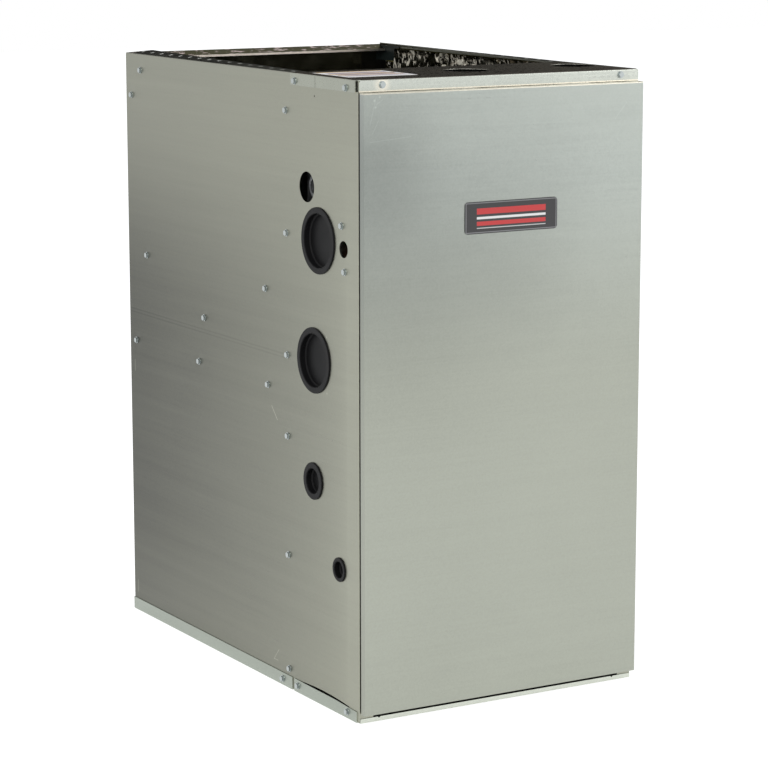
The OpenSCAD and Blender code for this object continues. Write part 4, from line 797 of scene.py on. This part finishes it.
def board(mesh, corner, along, up, face, step, depth, seed, notch=None, facing=0):
    """A closed board: its face is a grid that dips by up to depth, its edges and back are plain. The notch
    is the share of its length and of its height from which a corner is left out."""
    corner, along, up, face = Vector(corner), Vector(along), Vector(up), Vector(face)
    columns = round(along.length / step)
    rows = round(up.length / step)
    grid = {}

    def point(i, k):
        if (i, k) not in grid:
            grid[i, k] = mesh.verts.new(corner + along * (i / columns) + up * (k / rows) + face)
        return grid[i, k]

    front = []
    for i in range(columns):
        for k in range(rows):
            if notch and (i + 0.5) / columns > notch[0] and (k + 0.5) / rows > notch[1]:
                continue
            cell = (point(i, k), point(i + 1, k), point(i + 1, k + 1), point(i, k + 1))
            front.append(mesh.faces.new(cell))
            front[-1].material_index = facing
    rim = [loop for f in front for loop in f.loops if len(loop.edge.link_faces) == 1]
    follow = {loop.vert: loop.link_loop_next.vert for loop in rim}
    back = {v: mesh.verts.new(v.co - face) for v in follow}
    for a, b in follow.items():
        mesh.faces.new((b, a, back[a], back[b])).material_index = 1
    start = next(iter(follow))
    ring = [back[start]]
    a = follow[start]
    while a is not start:
        ring.append(back[a])
        a = follow[a]
    mesh.faces.new(ring[::-1])
    out = face.normalized()
    for v in grid.values():
        if v not in follow:
            v.co -= out * depth * liveliness(v.co, seed) * crumple(v.co, seed)
    for f in mesh.faces:
        f.smooth = f.material_index != 1
    for edge in mesh.edges:
        edge.smooth = len({f.material_index for f in edge.link_faces}) == 1


def lining_piece(name, boards, materials, body, node):
    mesh = bmesh.new()
    for values in boards:
        board(mesh, **values)
    bmesh.ops.recalc_face_normals(mesh, faces=mesh.faces)
    data = bpy.data.meshes.new(name)
    mesh.to_mesh(data)
    mesh.free()
    for material in materials:
        data.materials.append(material)
    piece = link(bpy.data.objects.new(name, data))
    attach(piece, body)
    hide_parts(node)


def wall_boards():
    """The boards on the cabinet's right, left and back walls. The back one has foil of its own."""
    (x0, y0, z0), (x1, y1, z1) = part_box("cabinet_insulation")
    length = Vector((0, SIDE_BOARD_END_Y - y0, 0))
    height = Vector((0, 0, z1 - z0))
    notch = ((NOTCH_Y - y0) / length.y, (NOTCH_Z - z0) / height.z)
    sides = [dict(corner=(x, y0, z0), along=length, up=height, face=(inwards, 0, 0), step=3.4 * MM,
                  depth=6.5 * MM, seed=seed, notch=notch)
             for x, inwards, seed in ((x1, -PAD, 3.0), (x0, PAD, 11.0))]
    rear = dict(corner=(-BACK_BOARD_HALF_X, y1, z0), along=(2 * BACK_BOARD_HALF_X, 0, 0),
                up=(0, 0, BACK_BOARD_TOP_Z - z0), face=(0, -PAD, 0), step=6 * MM, depth=0.8 * MM, seed=23.0,
                facing=2)
    return sides + [rear]


def door_board():
    (x0, y0, z0), (x1, y1, z1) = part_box("door_lining_pad")
    return dict(corner=(x0, y0, z0), along=(x1 - x0, 0, 0), up=(0, 0, z1 - z0), face=(0, y1 - y0, 0),
                step=5 * MM, depth=3 * MM, seed=31.0)


def make_linings(foil):
    """The boards in the cabinet as one piece, and the one inside the door as another. The back board's
    smooth foil is painted dark as shade.
    """
    fibre = make_fibre()
    # the back board's smooth foil, painted dark as shade
    shaded_smooth_foil = make_foil("shaded_smooth_foil", seen(70, 70, 60), 0.05)
    lining_piece("wall_insulation", wall_boards(), [foil, fibre, shaded_smooth_foil], "cabinet",
                 "cabinet_insulation")
    lining_piece("door_insulation", [door_board()], [foil, fibre], "front_door", "door_lining_pad")


# ---- The whole scene ----

make_camera()
make_world()
make_floor()
area_light("key", (-2.4, -2.6, 2.8), 60, (1.0, 0.99, 0.97))
area_light("fill", (2.8, -2.4, 1.8), 30, (1.0, 0.99, 0.98))
make_card()
LOOKS = make_looks()
dress_nodes(LOOKS)
make_linings(LOOKS["foil_lining"])

scene = bpy.context.scene
scene.view_settings.view_transform = "Standard"
